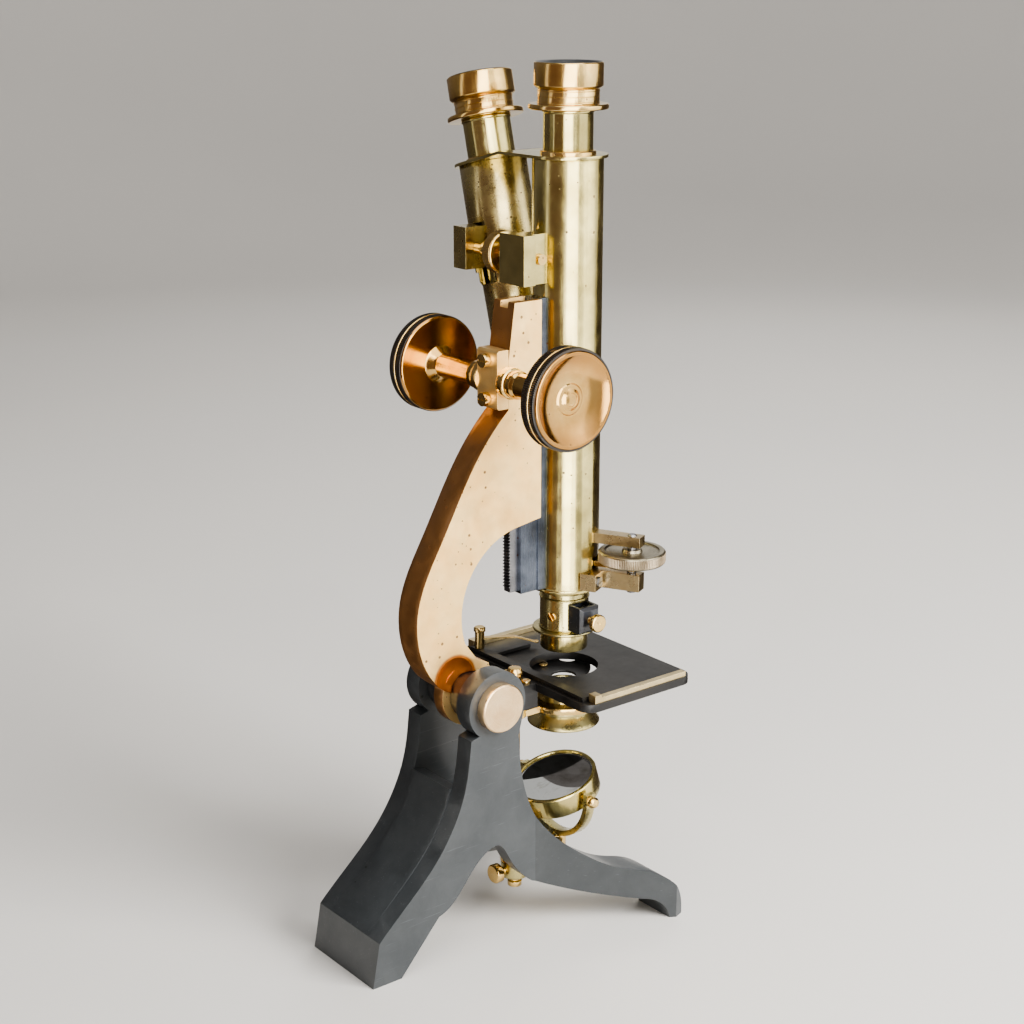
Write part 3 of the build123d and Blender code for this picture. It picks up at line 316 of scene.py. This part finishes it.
def lens_glass(name, colour):
    """Clear optical glass with a trace of dust."""
    graph = Graph(name)
    dust = graph.noise(300.0, 5.0, 0.7)
    tint = graph.ramp(dust, [(0.4, colour), (0.75, tuple(value * 0.93 for value in colour))])
    roughness = graph.spread(dust, 0.01, 0.07, 0.45, 0.8)
    graph.set(Metallic=0.0, IOR=GLASS_IOR, Transmission_Weight=1.0)
    return graph.finish(tint, roughness)


def silvered(name):
    """Back-silvered glass, slightly foxed towards its edge."""
    graph = Graph(name)
    fox = graph.noise(60.0, 6.0, 0.7, distortion=0.5)
    tint = graph.ramp(fox, [(0.5, (0.62, 0.64, 0.64)), (0.72, (0.33, 0.32, 0.28))])
    roughness = graph.spread(fox, 0.03, 0.16, 0.45, 0.8)
    graph.set(Metallic=1.0, Coat_Weight=0.6, Coat_Roughness=0.03, Coat_IOR=COAT_IOR)
    return graph.finish(tint, roughness)


# ---------------------------------------------------------------- materials

GREEN_GOLD = ((0.70, 0.60, 0.27), (0.50, 0.42, 0.17))
ORANGE_GOLD = ((0.88, 0.64, 0.27), (0.70, 0.46, 0.16))
CREAM_GOLD = ((0.97, 0.68, 0.30), (0.92, 0.58, 0.22))
PALE_GOLD = ((0.70, 0.58, 0.34), (0.52, 0.41, 0.22))
DULL_GOLD = ((0.46, 0.37, 0.26), (0.30, 0.23, 0.15))

# Stretch of the draw marks' noise along X, Y and Z: long marks have a small number
DRAWN_UP = (1500.0, 1500.0, 26.0)
FLAT_Y = (420.0, 60.0, 90.0)
ROUND = (700.0, 700.0, 700.0)

tube_brass = brass("tube brass", *GREEN_GOLD, 0.20, DRAWN_UP, spots=0.5)
side_brass = brass("side tube brass", (0.60, 0.50, 0.24), (0.40, 0.32, 0.14), 0.24, DRAWN_UP, spots=0.9)
gilt = brass("gilt brass", *ORANGE_GOLD, 0.18, ROUND, spots=0.3)
# The scoops either side of the limb's foot, which get painted shade: their centre, and where that darker
# colour begins to fade and ends
SCOOP_MIDDLE = Vector((AXIS.x - 72.5 * MM, 18.0 * MM, 132.5 * MM))
LIMB_SCOOP = (SCOOP_MIDDLE, 15.6 * MM, 16.4 * MM)
# The limb gets painted shade in its scoops and on its narrow faces
limb_brass = brass(
    "limb brass", *CREAM_GOLD, 0.36, FLAT_Y, spots=0.75, lacquer=0.3, grain=0.12, metal=0.8,
    hollow=LIMB_SCOOP, edges=NARROW_FACE_SHADE,
)
cap_brass = brass("pinion cap brass", *CREAM_GOLD, 0.34, FLAT_Y, spots=0.5, metal=0.85)
pale_brass = brass("pale brass", *PALE_GOLD, 0.32, FLAT_Y, spots=0.5)
dull_brass = brass("dull brass", *DULL_GOLD, 0.34, ROUND, spots=0.5)
arm_brass = brass("focus arm brass", (0.58, 0.46, 0.26), (0.38, 0.29, 0.15), 0.28, FLAT_Y, spots=0.5)
olive_brass = brass("olive brass", (0.62, 0.54, 0.26), (0.40, 0.34, 0.15), 0.26, ROUND, spots=0.5)
foot_enamel = enamel("foot enamel", (0.034, 0.040, 0.045), (0.056, 0.063, 0.068), 0.38, 0.40, 900.0)
stage_black = enamel("stage lacquer", (0.006, 0.006, 0.006), (0.015, 0.013, 0.012), 0.46, 0.06, 1500.0)
boss_black = enamel("boss lacquer", (0.008, 0.008, 0.009), (0.02, 0.018, 0.018), 0.38, 0.25, 1400.0)
prism_black = enamel("prism box bronze", (0.016, 0.019, 0.026), (0.05, 0.056, 0.07), 0.24, 0.5, 1500.0)
rim_black = enamel("milled rim black", (0.014, 0.012, 0.011), (0.05, 0.04, 0.03), 0.30, 0.3, 1800.0)
eye_black = enamel("eye cup black", (0.02, 0.021, 0.022), (0.075, 0.08, 0.085), 0.36, 0.2, 1500.0)
slide_steel = steel("slide steel", (0.15, 0.17, 0.21), (0.06, 0.07, 0.09), 0.24)
rack_steel = steel("rack steel", (0.28, 0.28, 0.29), (0.14, 0.14, 0.15), 0.30)
screw_steel = steel("screw steel", (0.40, 0.40, 0.42), (0.16, 0.17, 0.20), 0.28, ROUND)
lens = lens_glass("lens glass", (0.93, 0.97, 0.95))
mirror_glass = silvered("mirror glass")
# The knob face's darker, redder outer zone, from 8 to 18 mm out, is painted shade for the dish's sloped rim
knob_face = turned_brass(
    "knob face", (0.80, 0.55, 0.22), (0.64, 0.38, 0.12), 0.12,
    centre("coarse_knob_right"), (0, 1, 0), 0.22 * MM, outer=(8.0 * MM, 18.0 * MM, (0.46, 0.22, 0.06)),
)
screw_face = turned_brass(
    "trunnion screw face", (0.90, 0.68, 0.42), (0.74, 0.50, 0.27), 0.27,
    centre("trunnion_screws"), (0, 1, 0), 0.3 * MM,
)
wheel_face = turned_brass(
    "fine wheel face", (0.42, 0.38, 0.28), (0.22, 0.19, 0.13), 0.26,
    centre("fine_focus_wheel"), (0, 0, 1), 0.25 * MM,
)

DRESS = {
    "foot_casting": foot_enamel, "trunnion_screws": screw_face,
    "limb_arm": limb_brass, "trunnion_bosses": boss_black,
    "pinion_cap": cap_brass, "pinion_cap_screws": gilt, "pinion_bushes": gilt,
    "coarse_pinion": rack_steel, "coarse_knob_right": knob_face, "coarse_knob_left": knob_face,
    "main_tube": tube_brass, "side_tube": side_brass, "side_tube_cone": side_brass,
    "top_plate": tube_brass, "tube_bushes": gilt, "nose_bush": olive_brass,
    "tube_slide": slide_steel, "tube_rack": rack_steel,
    "draw_pinion_housing_right": tube_brass, "draw_pinion_housing_left": side_brass,
    "draw_pinion_shaft": gilt, "draw_pinion_knob": gilt,
    "right_draw_tube": tube_brass, "left_draw_tube": tube_brass,
    "right_eyepiece_barrel": gilt, "left_eyepiece_barrel": gilt,
    "right_eye_cap": gilt, "left_eye_cap": gilt,
    "right_eyepiece_lenses": lens, "left_eyepiece_lenses": lens,
    "nosepiece": olive_brass, "nose_ring": tube_brass, "fine_focus_lever": gilt,
    "prism_box": prism_black, "wenham_prism": lens, "prism_knob": gilt,
    "fine_upper_arm": arm_brass, "fine_lower_arm": arm_brass, "fine_arm_screw": screw_steel,
    "fine_focus_spindle": screw_steel, "fine_focus_wheel": wheel_face,
    "stage_bracket": boss_black, "stage_plate": stage_black, "stage_screws": gilt,
    "stage_rails": pale_brass, "slide_carrier": stage_black, "stage_clip": gilt,
    "diaphragm_wheel": stage_black, "tail_rod": gilt, "substage_ring": gilt,
    "condenser_mount": olive_brass, "condenser_lenses": lens,
    "mirror_collar": olive_brass, "collar_clamp_screw": gilt, "mirror_arm": gilt,
    "mirror_fork": olive_brass, "mirror_pivot_screws": gilt, "mirror_cell": tube_brass,
    "concave_mirror": mirror_glass, "plane_mirror": mirror_glass,
}

# Softened edges, as a width in millimetres: castings are rounder than machined pieces
EDGE = {"foot_casting": 1.6, "limb_arm": 0.45, "stage_plate": 0.35, "trunnion_bosses": 0.3}
EDGE_DEFAULT = 0.15
SHARP_ANGLE = radians(32)
WELD_REACH = 0.001 * MM


def dress(node, material):
    """Give a CAD node its material and softened edges."""
    piece = NODES[node]
    piece.data.materials.clear()
    piece.data.materials.append(material)
    weld = piece.modifiers.new("weld", "WELD")
    weld.merge_threshold = WELD_REACH
    bevel = piece.modifiers.new("soft edges", "BEVEL")
    bevel.width = EDGE.get(node, EDGE_DEFAULT) * MM
    bevel.segments = 3 if node == "foot_casting" else 2
    bevel.limit_method = "ANGLE"
    bevel.angle_limit = SHARP_ANGLE
    bevel.use_clamp_overlap = True
    bevel.harden_normals = True


for node, material in DRESS.items():
    dress(node, material)

# ---------------------------------------------------------------- new pieces


def frame_about(origin, axis):
    """A matrix whose Z runs along axis from origin."""
    turn = Vector((0, 0, 1)).rotation_difference(Vector(axis)).to_matrix().to_4x4()
    return Matrix.Translation(origin) @ turn


def piece(name, mesh_data, material, body):
    """Make an object from a bmesh and let it ride on a body."""
    mesh = bpy.data.meshes.new(name)
    bmesh.ops.recalc_face_normals(mesh_data, faces=mesh_data.faces)
    mesh_data.to_mesh(mesh)
    mesh_data.free()
    shape = bpy.data.objects.new(name, mesh)
    bpy.context.scene.collection.objects.link(shape)
    mesh.materials.append(material)
    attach(shape, body)
    return shape


LATHE_STEPS = 96


def lathe(outline, steps, matrix, radius_at=None):
    """A closed solid of revolution: outline is (radius, height), radius_at bends it by angle."""
    shape = bmesh.new()
    rings = []
    for step in range(steps):
        angle = 2 * pi * step / steps
        ring = []
        for index, (radius, height) in enumerate(outline):
            r = radius_at(step, index, radius) if radius_at else radius
            ring.append(shape.verts.new(matrix @ Vector((r * cos(angle), r * sin(angle), height))))
        rings.append(ring)
    count = len(outline)
    for step in range(steps):
        here, there = rings[step], rings[(step + 1) % steps]
        for index in range(count):
            after = (index + 1) % count
            shape.faces.new((here[index], there[index], there[after], here[after]))
    return shape


def milled_band(name, material, body, origin, axis, radius, low, high, teeth, depth, wall=1.2):
    """A band with straight milling: alternate ridges and grooves round its rim.

    teeth is their number, and depth and wall are in millimetres."""
    lip = 0.25 * MM
    inner = radius - wall * MM
    outline = [
        (inner, low), (radius - depth * MM, low), (radius, low + lip), (radius, high - lip),
        (radius - depth * MM, high), (inner, high),
    ]

    def radius_at(step, index, value):
        groove = step % 2 and index in (2, 3)
        return value - depth * MM if groove else value

    shape = lathe(outline, teeth * 2, frame_about(origin, axis), radius_at)
    piece(name, shape, material, body)


def smooth(shape):
    for face in shape.data.polygons:
        face.use_smooth = True


def bead(name, material, body, origin, axis, radius, thick):
    """A thin round bead about an axis."""
    sides = 10
    outline = []
    for side in range(sides):
        angle = 2 * pi * side / sides
        outline.append((radius + thick / 2 * cos(angle), thick / 2 * sin(angle)))
    smooth(piece(name, lathe(outline, LATHE_STEPS, frame_about(origin, axis)), material, body))


def screw_head(matrix, radius, height):
    """A cheese head with a slightly domed face, as shares of its radius and height."""
    steps = 48
    shape = bmesh.new()
    rings = []
    for share, level in ((1.0, -0.6), (1.0, 0.78), (0.92, 0.97), (0.5, 1.06)):
        ring = []
        for step in range(steps):
            angle = 2 * pi * step / steps
            x, y = radius * share * cos(angle), radius * share * sin(angle)
            ring.append(shape.verts.new(matrix @ Vector((x, y, height * level))))
        rings.append(ring)
    for lower, upper in zip(rings, rings[1:]):
        for step in range(steps):
            after = (step + 1) % steps
            shape.faces.new((lower[step], lower[after], upper[after], upper[step]))
    shape.faces.new(rings[-1])
    shape.faces.new(list(reversed(rings[0])))
    return shape


def slot_cutter(matrix, radius, height, slot):
    """A bar that cuts the slot across a screw's head."""
    size = Vector((radius * 2.6, slot, height * 1.3))
    shape = bmesh.new()
    bmesh.ops.create_cube(shape, size=1.0)
    for vert in shape.verts:
        vert.co = matrix @ (vert.co * size + Vector((0, 0, height * 1.15)))
    data = bpy.data.meshes.new("cutter")
    shape.to_mesh(data)
    shape.free()
    cutter = bpy.data.objects.new("cutter", data)
    bpy.context.scene.collection.objects.link(cutter)
    return cutter


def slotted_screw(name, material, body, origin, axis, radius, height, slot, turn=0.0):
    """A cheese-head screw with a slot cut across its face."""
    matrix = frame_about(origin, axis) @ Matrix.Rotation(turn, 4, "Z")
    made = piece(name, screw_head(matrix, radius, height), material, body)
    cutter = slot_cutter(matrix, radius, height, slot)
    cut = made.modifiers.new("slot", "BOOLEAN")
    cut.object = cutter
    cut.solver = "EXACT"
    depsgraph = bpy.context.evaluated_depsgraph_get()
    done = bpy.data.meshes.new_from_object(made.evaluated_get(depsgraph))
    made.modifiers.clear()
    made.data = done
    bpy.data.objects.remove(cutter)
    soft = made.modifiers.new("soft edges", "BEVEL")
    soft.width = 0.06 * MM
    soft.segments = 2
    soft.limit_method = "ANGLE"
    soft.angle_limit = SHARP_ANGLE


def inner_thread(name, material, body, origin, axis, radius, pitch, turns, depth, width):
    """The thread in a ring: a small ridge swept along a helix, which fades at both ends."""
    steps = 48
    fade_steps = 12
    root = 0.02 * MM
    matrix = frame_about(origin, axis)
    shape = bmesh.new()
    total = int(steps * turns)
    sections = []
    for step in range(total + 1):
        angle = 2 * pi * step / steps
        fade = min(1.0, step / fade_steps, (total - step) / fade_steps)
        height = pitch * step / steps
        section = []
        for offset, reach in ((-width / 2, -root), (0, depth * max(fade, 0.05)), (width / 2, -root)):
            r = radius - reach
            section.append(
                shape.verts.new(matrix @ Vector((r * cos(angle), r * sin(angle), height + offset)))
            )
        sections.append(section)
    for here, there in zip(sections, sections[1:]):
        for index in range(3):
            after = (index + 1) % 3
            shape.faces.new((here[index], here[after], there[after], there[index]))
    shape.faces.new(sections[0])
    shape.faces.new(list(reversed(sections[-1])))
    piece(name, shape, material, body)


KNOB_R = 23.0 * MM
# Milled bands on each large knob, as (low, high) from its outer face, with a bright line between
RIM_BANDS = ((1.1, 4.6), (5.4, 9.6))
RIM_LINE = 5.0 * MM
# The stud over the end of the coarse pinion's shaft, as (radius, height) from that end
STUD = ((0.02, -0.3), (3.3, -0.3), (3.4, 0.25), (2.9, 0.6), (1.6, 0.85), (0.02, 0.95))


def knob_trim(hand, side):
    """Milled bands, bright line and stud of one large knob. side is 1 for the left, -1 for the right."""
    low, high = (Vector(corner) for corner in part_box("coarse_knob_" + hand))
    outer = low.y if side < 0 else high.y
    origin = Vector((centre("coarse_knob_" + hand).x, outer, centre("coarse_knob_" + hand).z))
    for number, (near, far) in enumerate(RIM_BANDS):
        milled_band(
            "coarse_rim_%s_%d" % (hand, number), rim_black, "coarse_drive", origin, (0, -side, 0),
            KNOB_R + 0.3 * MM, near * MM, far * MM, 150, 0.35, wall=1.6,
        )
    bead(
        "coarse_rim_line_" + hand, gilt, "coarse_drive", origin + Vector((0, -side * RIM_LINE, 0)),
        (0, 1, 0), KNOB_R - 0.05 * MM, 0.8 * MM,
    )
    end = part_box("coarse_pinion")[0 if side < 0 else 1][1]
    outline = [(radius * MM, height * MM) for radius, height in STUD]
    stud = lathe(outline, 64, frame_about(Vector((origin.x, end, origin.z)), (0, side, 0)))
    piece("coarse_stud_" + hand, stud, knob_face, "coarse_drive")


def fine_wheel_trim():
    """Milled rim of the fine-focus wheel."""
    middle = centre("fine_focus_wheel")
    base = Vector((middle.x, middle.y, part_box("fine_focus_wheel")[0][2]))
    milled_band(
        "fine_wheel_rim", dull_brass, "fine_drive", base,
        (0, 0, 1), 16.2 * MM, 0.7 * MM, 5.3 * MM, 120, 0.3,
    )


def draw_knob_trim():
    """Milled rim of the draw tubes' knob, which sits between their two housings."""
    middle = centre("draw_pinion_knob")
    milled_band(
        "draw_knob_rim", gilt, "draw_drive", Vector((middle.x, AXIS.y + 19.4 * MM, middle.z)),
        (0, 1, 0), 10.2 * MM, 0.7 * MM, 5.9 * MM, 80, 0.3,
    )


# Outline of the black cone inside an eye cup, as (radius, height) above the cap's seat
CUP = (
    (6.3, 13.24), (7.4, 13.34), (14.5, 20.62), (15.1, 21.02),
    (15.3, 20.86), (14.7, 20.3), (7.5, 12.9), (6.3, 12.8),
)
SEAT_DROP = 15.05 * MM
FLANGE_BEADS = (3.4, 5.8, 8.2)


def eyepiece_trim(hand, tilt):
    """Black cone and three beads of one eyepiece, on its own axis."""
    along = Vector((0, sin(tilt), cos(tilt)))
    seat = centre(hand + "_eye_cap") - along * SEAT_DROP
    outline = [(radius * MM, height * MM) for radius, height in CUP]
    cone = lathe(outline, LATHE_STEPS, frame_about(seat, along))
    smooth(piece(hand + "_eye_cup_liner", cone, eye_black, hand + "_eyepiece"))
    for number, height in enumerate(FLANGE_BEADS):
        bead(
            "%s_flange_bead_%d" % (hand, number), gilt, hand + "_eyepiece",
            seat + along * height * MM, along, 14.2 * MM, 0.5 * MM,
        )


def nose_trim():
    """Side screw, thread and two beads of the nosepiece."""
    turn = radians(-160)
    outward = Vector((cos(turn), sin(turn), 0))
    slotted_screw(
        "nosepiece_screw", gilt, "nosepiece_slide",
        AXIS_XY + outward * 12.0 * MM + Vector((0, 0, 149 * MM)), outward, 2.1 * MM, 0.9 * MM, 0.5 * MM, 0.9,
    )
    inner_thread(
        "nose_thread", tube_brass, "nosepiece_slide", AXIS_XY + Vector((0, 0, 131.3 * MM)),
        (0, 0, 1), 10.16 * MM, 0.7056 * MM, 8, 0.38 * MM, 0.62 * MM,
    )
    # One bead at the tube's top, and one between its flange and the prism slot
    for place, height in (("upper", 157.2), ("lower", 141.9)):
        bead(
            "nose_bead_" + place, olive_brass, "nosepiece_slide",
            AXIS_XY + Vector((0, 0, height * MM)), (0, 0, 1), 12.1 * MM, 0.7 * MM,
        )


knob_trim("right", -1)
knob_trim("left", 1)
fine_wheel_trim()
draw_knob_trim()
eyepiece_trim("right", 0.0)
eyepiece_trim("left", radians(14.5))
nose_trim()

# ---------------------------------------------------------------- floor, light and camera


def stage_material(name, colour, rough):
    graph = Graph(name)
    cloud = graph.noise(1.6, 3.0, 0.5)
    tint = graph.ramp(cloud, [(0.3, tuple(value * 0.97 for value in colour)), (0.7, colour)])
    roughness = graph.spread(graph.noise(3.0), rough * 0.95, rough * 1.05)
    return graph.finish(tint, roughness)


# A pale floor that curves up into a round backdrop: its flat part, its cove and its wall's top
FLAT_R, COVE_R, WALL_TOP = 1.9, 1.0, 2.4
COVE_STEPS = 12
BOWL_STEPS = 96


def bowl_profile():
    """(radius, height) points of the backdrop, outwards from the first ring."""
    points = [(0.6, 0.0), (1.3, 0.0)]
    for step in range(COVE_STEPS + 1):
        angle = pi / 2 * step / COVE_STEPS
        points.append((FLAT_R + COVE_R * sin(angle), COVE_R * (1 - cos(angle))))
    return points + [(FLAT_R + COVE_R, WALL_TOP)]


def bowl():
    """The floor and backdrop, turned from their profile about a middle point."""
    shape = bmesh.new()
    middle = shape.verts.new((0, 0, 0))
    angles = [2 * pi * step / BOWL_STEPS for step in range(BOWL_STEPS)]
    rings = []
    for radius, height in bowl_profile():
        rings.append([shape.verts.new((radius * cos(a), radius * sin(a), height)) for a in angles])
    for here in range(BOWL_STEPS):
        after = (here + 1) % BOWL_STEPS
        shape.faces.new((middle, rings[0][here], rings[0][after]))
        for inner, outer in zip(rings, rings[1:]):
            shape.faces.new((inner[here], outer[here], outer[after], inner[after]))
    mesh = bpy.data.meshes.new("floor")
    shape.to_mesh(mesh)
    shape.free()
    mesh.materials.append(stage_material("pale floor", (0.70, 0.68, 0.65), 0.75))
    floor = bpy.data.objects.new("floor", mesh)
    bpy.context.scene.collection.objects.link(floor)
    smooth(floor)


bowl()

world = bpy.data.worlds.new("studio")
world.use_nodes = True
world.node_tree.nodes["Background"].inputs["Color"].default_value = (0.80, 0.80, 0.82, 1)
world.node_tree.nodes["Background"].inputs["Strength"].default_value = 0.24
bpy.context.scene.world = world

# The camera's place, what it looks at, and its lens in millimetres
EYE = AXIS_XY + Vector((-0.552, -0.655, 0.454))
TARGET = AXIS_XY + Vector((-0.020, 0.016, 0.199))
LENS = 65.0
TO_CAMERA = Vector((EYE.x - AXIS.x, EYE.y - AXIS.y, 0)).normalized()
CAMERA_RIGHT = Vector((-TO_CAMERA.y, TO_CAMERA.x, 0))


def around(turn, distance, height):
    """A place round the instrument: turn is degrees to the right of the camera's direction."""
    a = radians(turn)
    return AXIS_XY + (TO_CAMERA * cos(a) + CAMERA_RIGHT * sin(a)) * distance + Vector((0, 0, height))


LAMP_COLOUR = (1.0, 0.985, 0.96)
LIT_POINT = AXIS_XY + Vector((0, 0, 0.2))


def soft_light(name, place, size, power):
    """A square area light aimed at the middle of the instrument, power in watts."""
    data = bpy.data.lights.new(name, "AREA")
    data.shape = "RECTANGLE"
    data.size = size
    data.size_y = size
    data.energy = power
    data.color = LAMP_COLOUR
    made = bpy.data.objects.new(name, data)
    made.location = place
    made.rotation_euler = (LIT_POINT - place).to_track_quat("-Z", "Y").to_euler()
    made.visible_camera = False
    bpy.context.scene.collection.objects.link(made)


soft_light("key", around(62, 1.3, 0.85), 0.9, 46.0)
soft_light("top", around(30, 0.6, 1.9), 1.4, 17.0)
soft_light("rear", around(165, 1.5, 1.2), 0.8, 8.0)

# Reflector cards: upright sheets round the instrument that only its glossy surfaces see.
# Each is (turn from, turn to, brightness, colour), and one darker than DARK_BELOW also has
# an apron on the floor, from APRON_R outwards.
CARD_R, CARD_TOP = 0.52, 0.85
CARD_FOOT, APRON_HEIGHT = 0.004, 0.003
APRON_R = 0.13
DARK_BELOW = 0.2
CARD_STEPS = 8
NEUTRAL = (1.0, 0.97, 0.92)
WARM_DARK = (0.55, 0.30, 0.20)
CARDS = (
    (-13, 27, 6.5, NEUTRAL), (26, 56, 0.6, NEUTRAL), (56, 104, 1.5, NEUTRAL),
    (104, 160, 0.05, WARM_DARK), (160, 200, 0.5, NEUTRAL), (200, 282, 0.05, WARM_DARK),
    (282, 289, 1.3, NEUTRAL), (289, 347, 0.22, WARM_DARK),
)


def card_material(number, brightness, colour):
    material = bpy.data.materials.new("card %d" % number)
    material.use_nodes = True
    shader = material.node_tree.nodes["Principled BSDF"]
    shader.inputs["Base Color"].default_value = (0, 0, 0, 1)
    shader.inputs["Emission Color"].default_value = (*colour, 1)
    shader.inputs["Emission Strength"].default_value = brightness
    return material


def card(number, start, end, brightness, colour):
    """One reflector card, which neither the camera nor matt surfaces see."""
    has_apron = brightness < DARK_BELOW
    points = []
    for step in range(CARD_STEPS + 1):
        turn = start + (end - start) * step / CARD_STEPS
        near = APRON_R if has_apron else CARD_R
        points += [
            around(turn, near, APRON_HEIGHT), around(turn, CARD_R, CARD_FOOT), around(turn, CARD_R, CARD_TOP)
        ]
    faces = []
    for here in range(0, 3 * CARD_STEPS, 3):
        after = here + 3
        if has_apron:
            faces.append((here, after, after + 1, here + 1))
        faces.append((here + 1, after + 1, after + 2, here + 2))
    mesh = bpy.data.meshes.new("card_%d" % number)
    mesh.from_pydata([tuple(point) for point in points], [], faces)
    mesh.materials.append(card_material(number, brightness, colour))
    made = bpy.data.objects.new("card_%d" % number, mesh)
    bpy.context.scene.collection.objects.link(made)
    made.visible_camera = False
    made.visible_diffuse = False
    made.visible_shadow = False
    made.visible_transmission = False


for number, (start, end, brightness, colour) in enumerate(CARDS):
    card(number, start, end, brightness, colour)

SENSOR_WIDTH = 36
NEAREST = 0.01
camera = bpy.data.cameras.new("camera")
camera.lens = LENS
camera.sensor_width = SENSOR_WIDTH
camera.clip_start = NEAREST
viewer = bpy.data.objects.new("camera", camera)
viewer.location = EYE
viewer.rotation_euler = (TARGET - EYE).to_track_quat("-Z", "Y").to_euler()
bpy.context.scene.collection.objects.link(viewer)
bpy.context.scene.camera = viewer

bpy.context.scene.view_settings.view_transform = "AgX"
bpy.context.scene.view_settings.look = "AgX - Medium High Contrast"
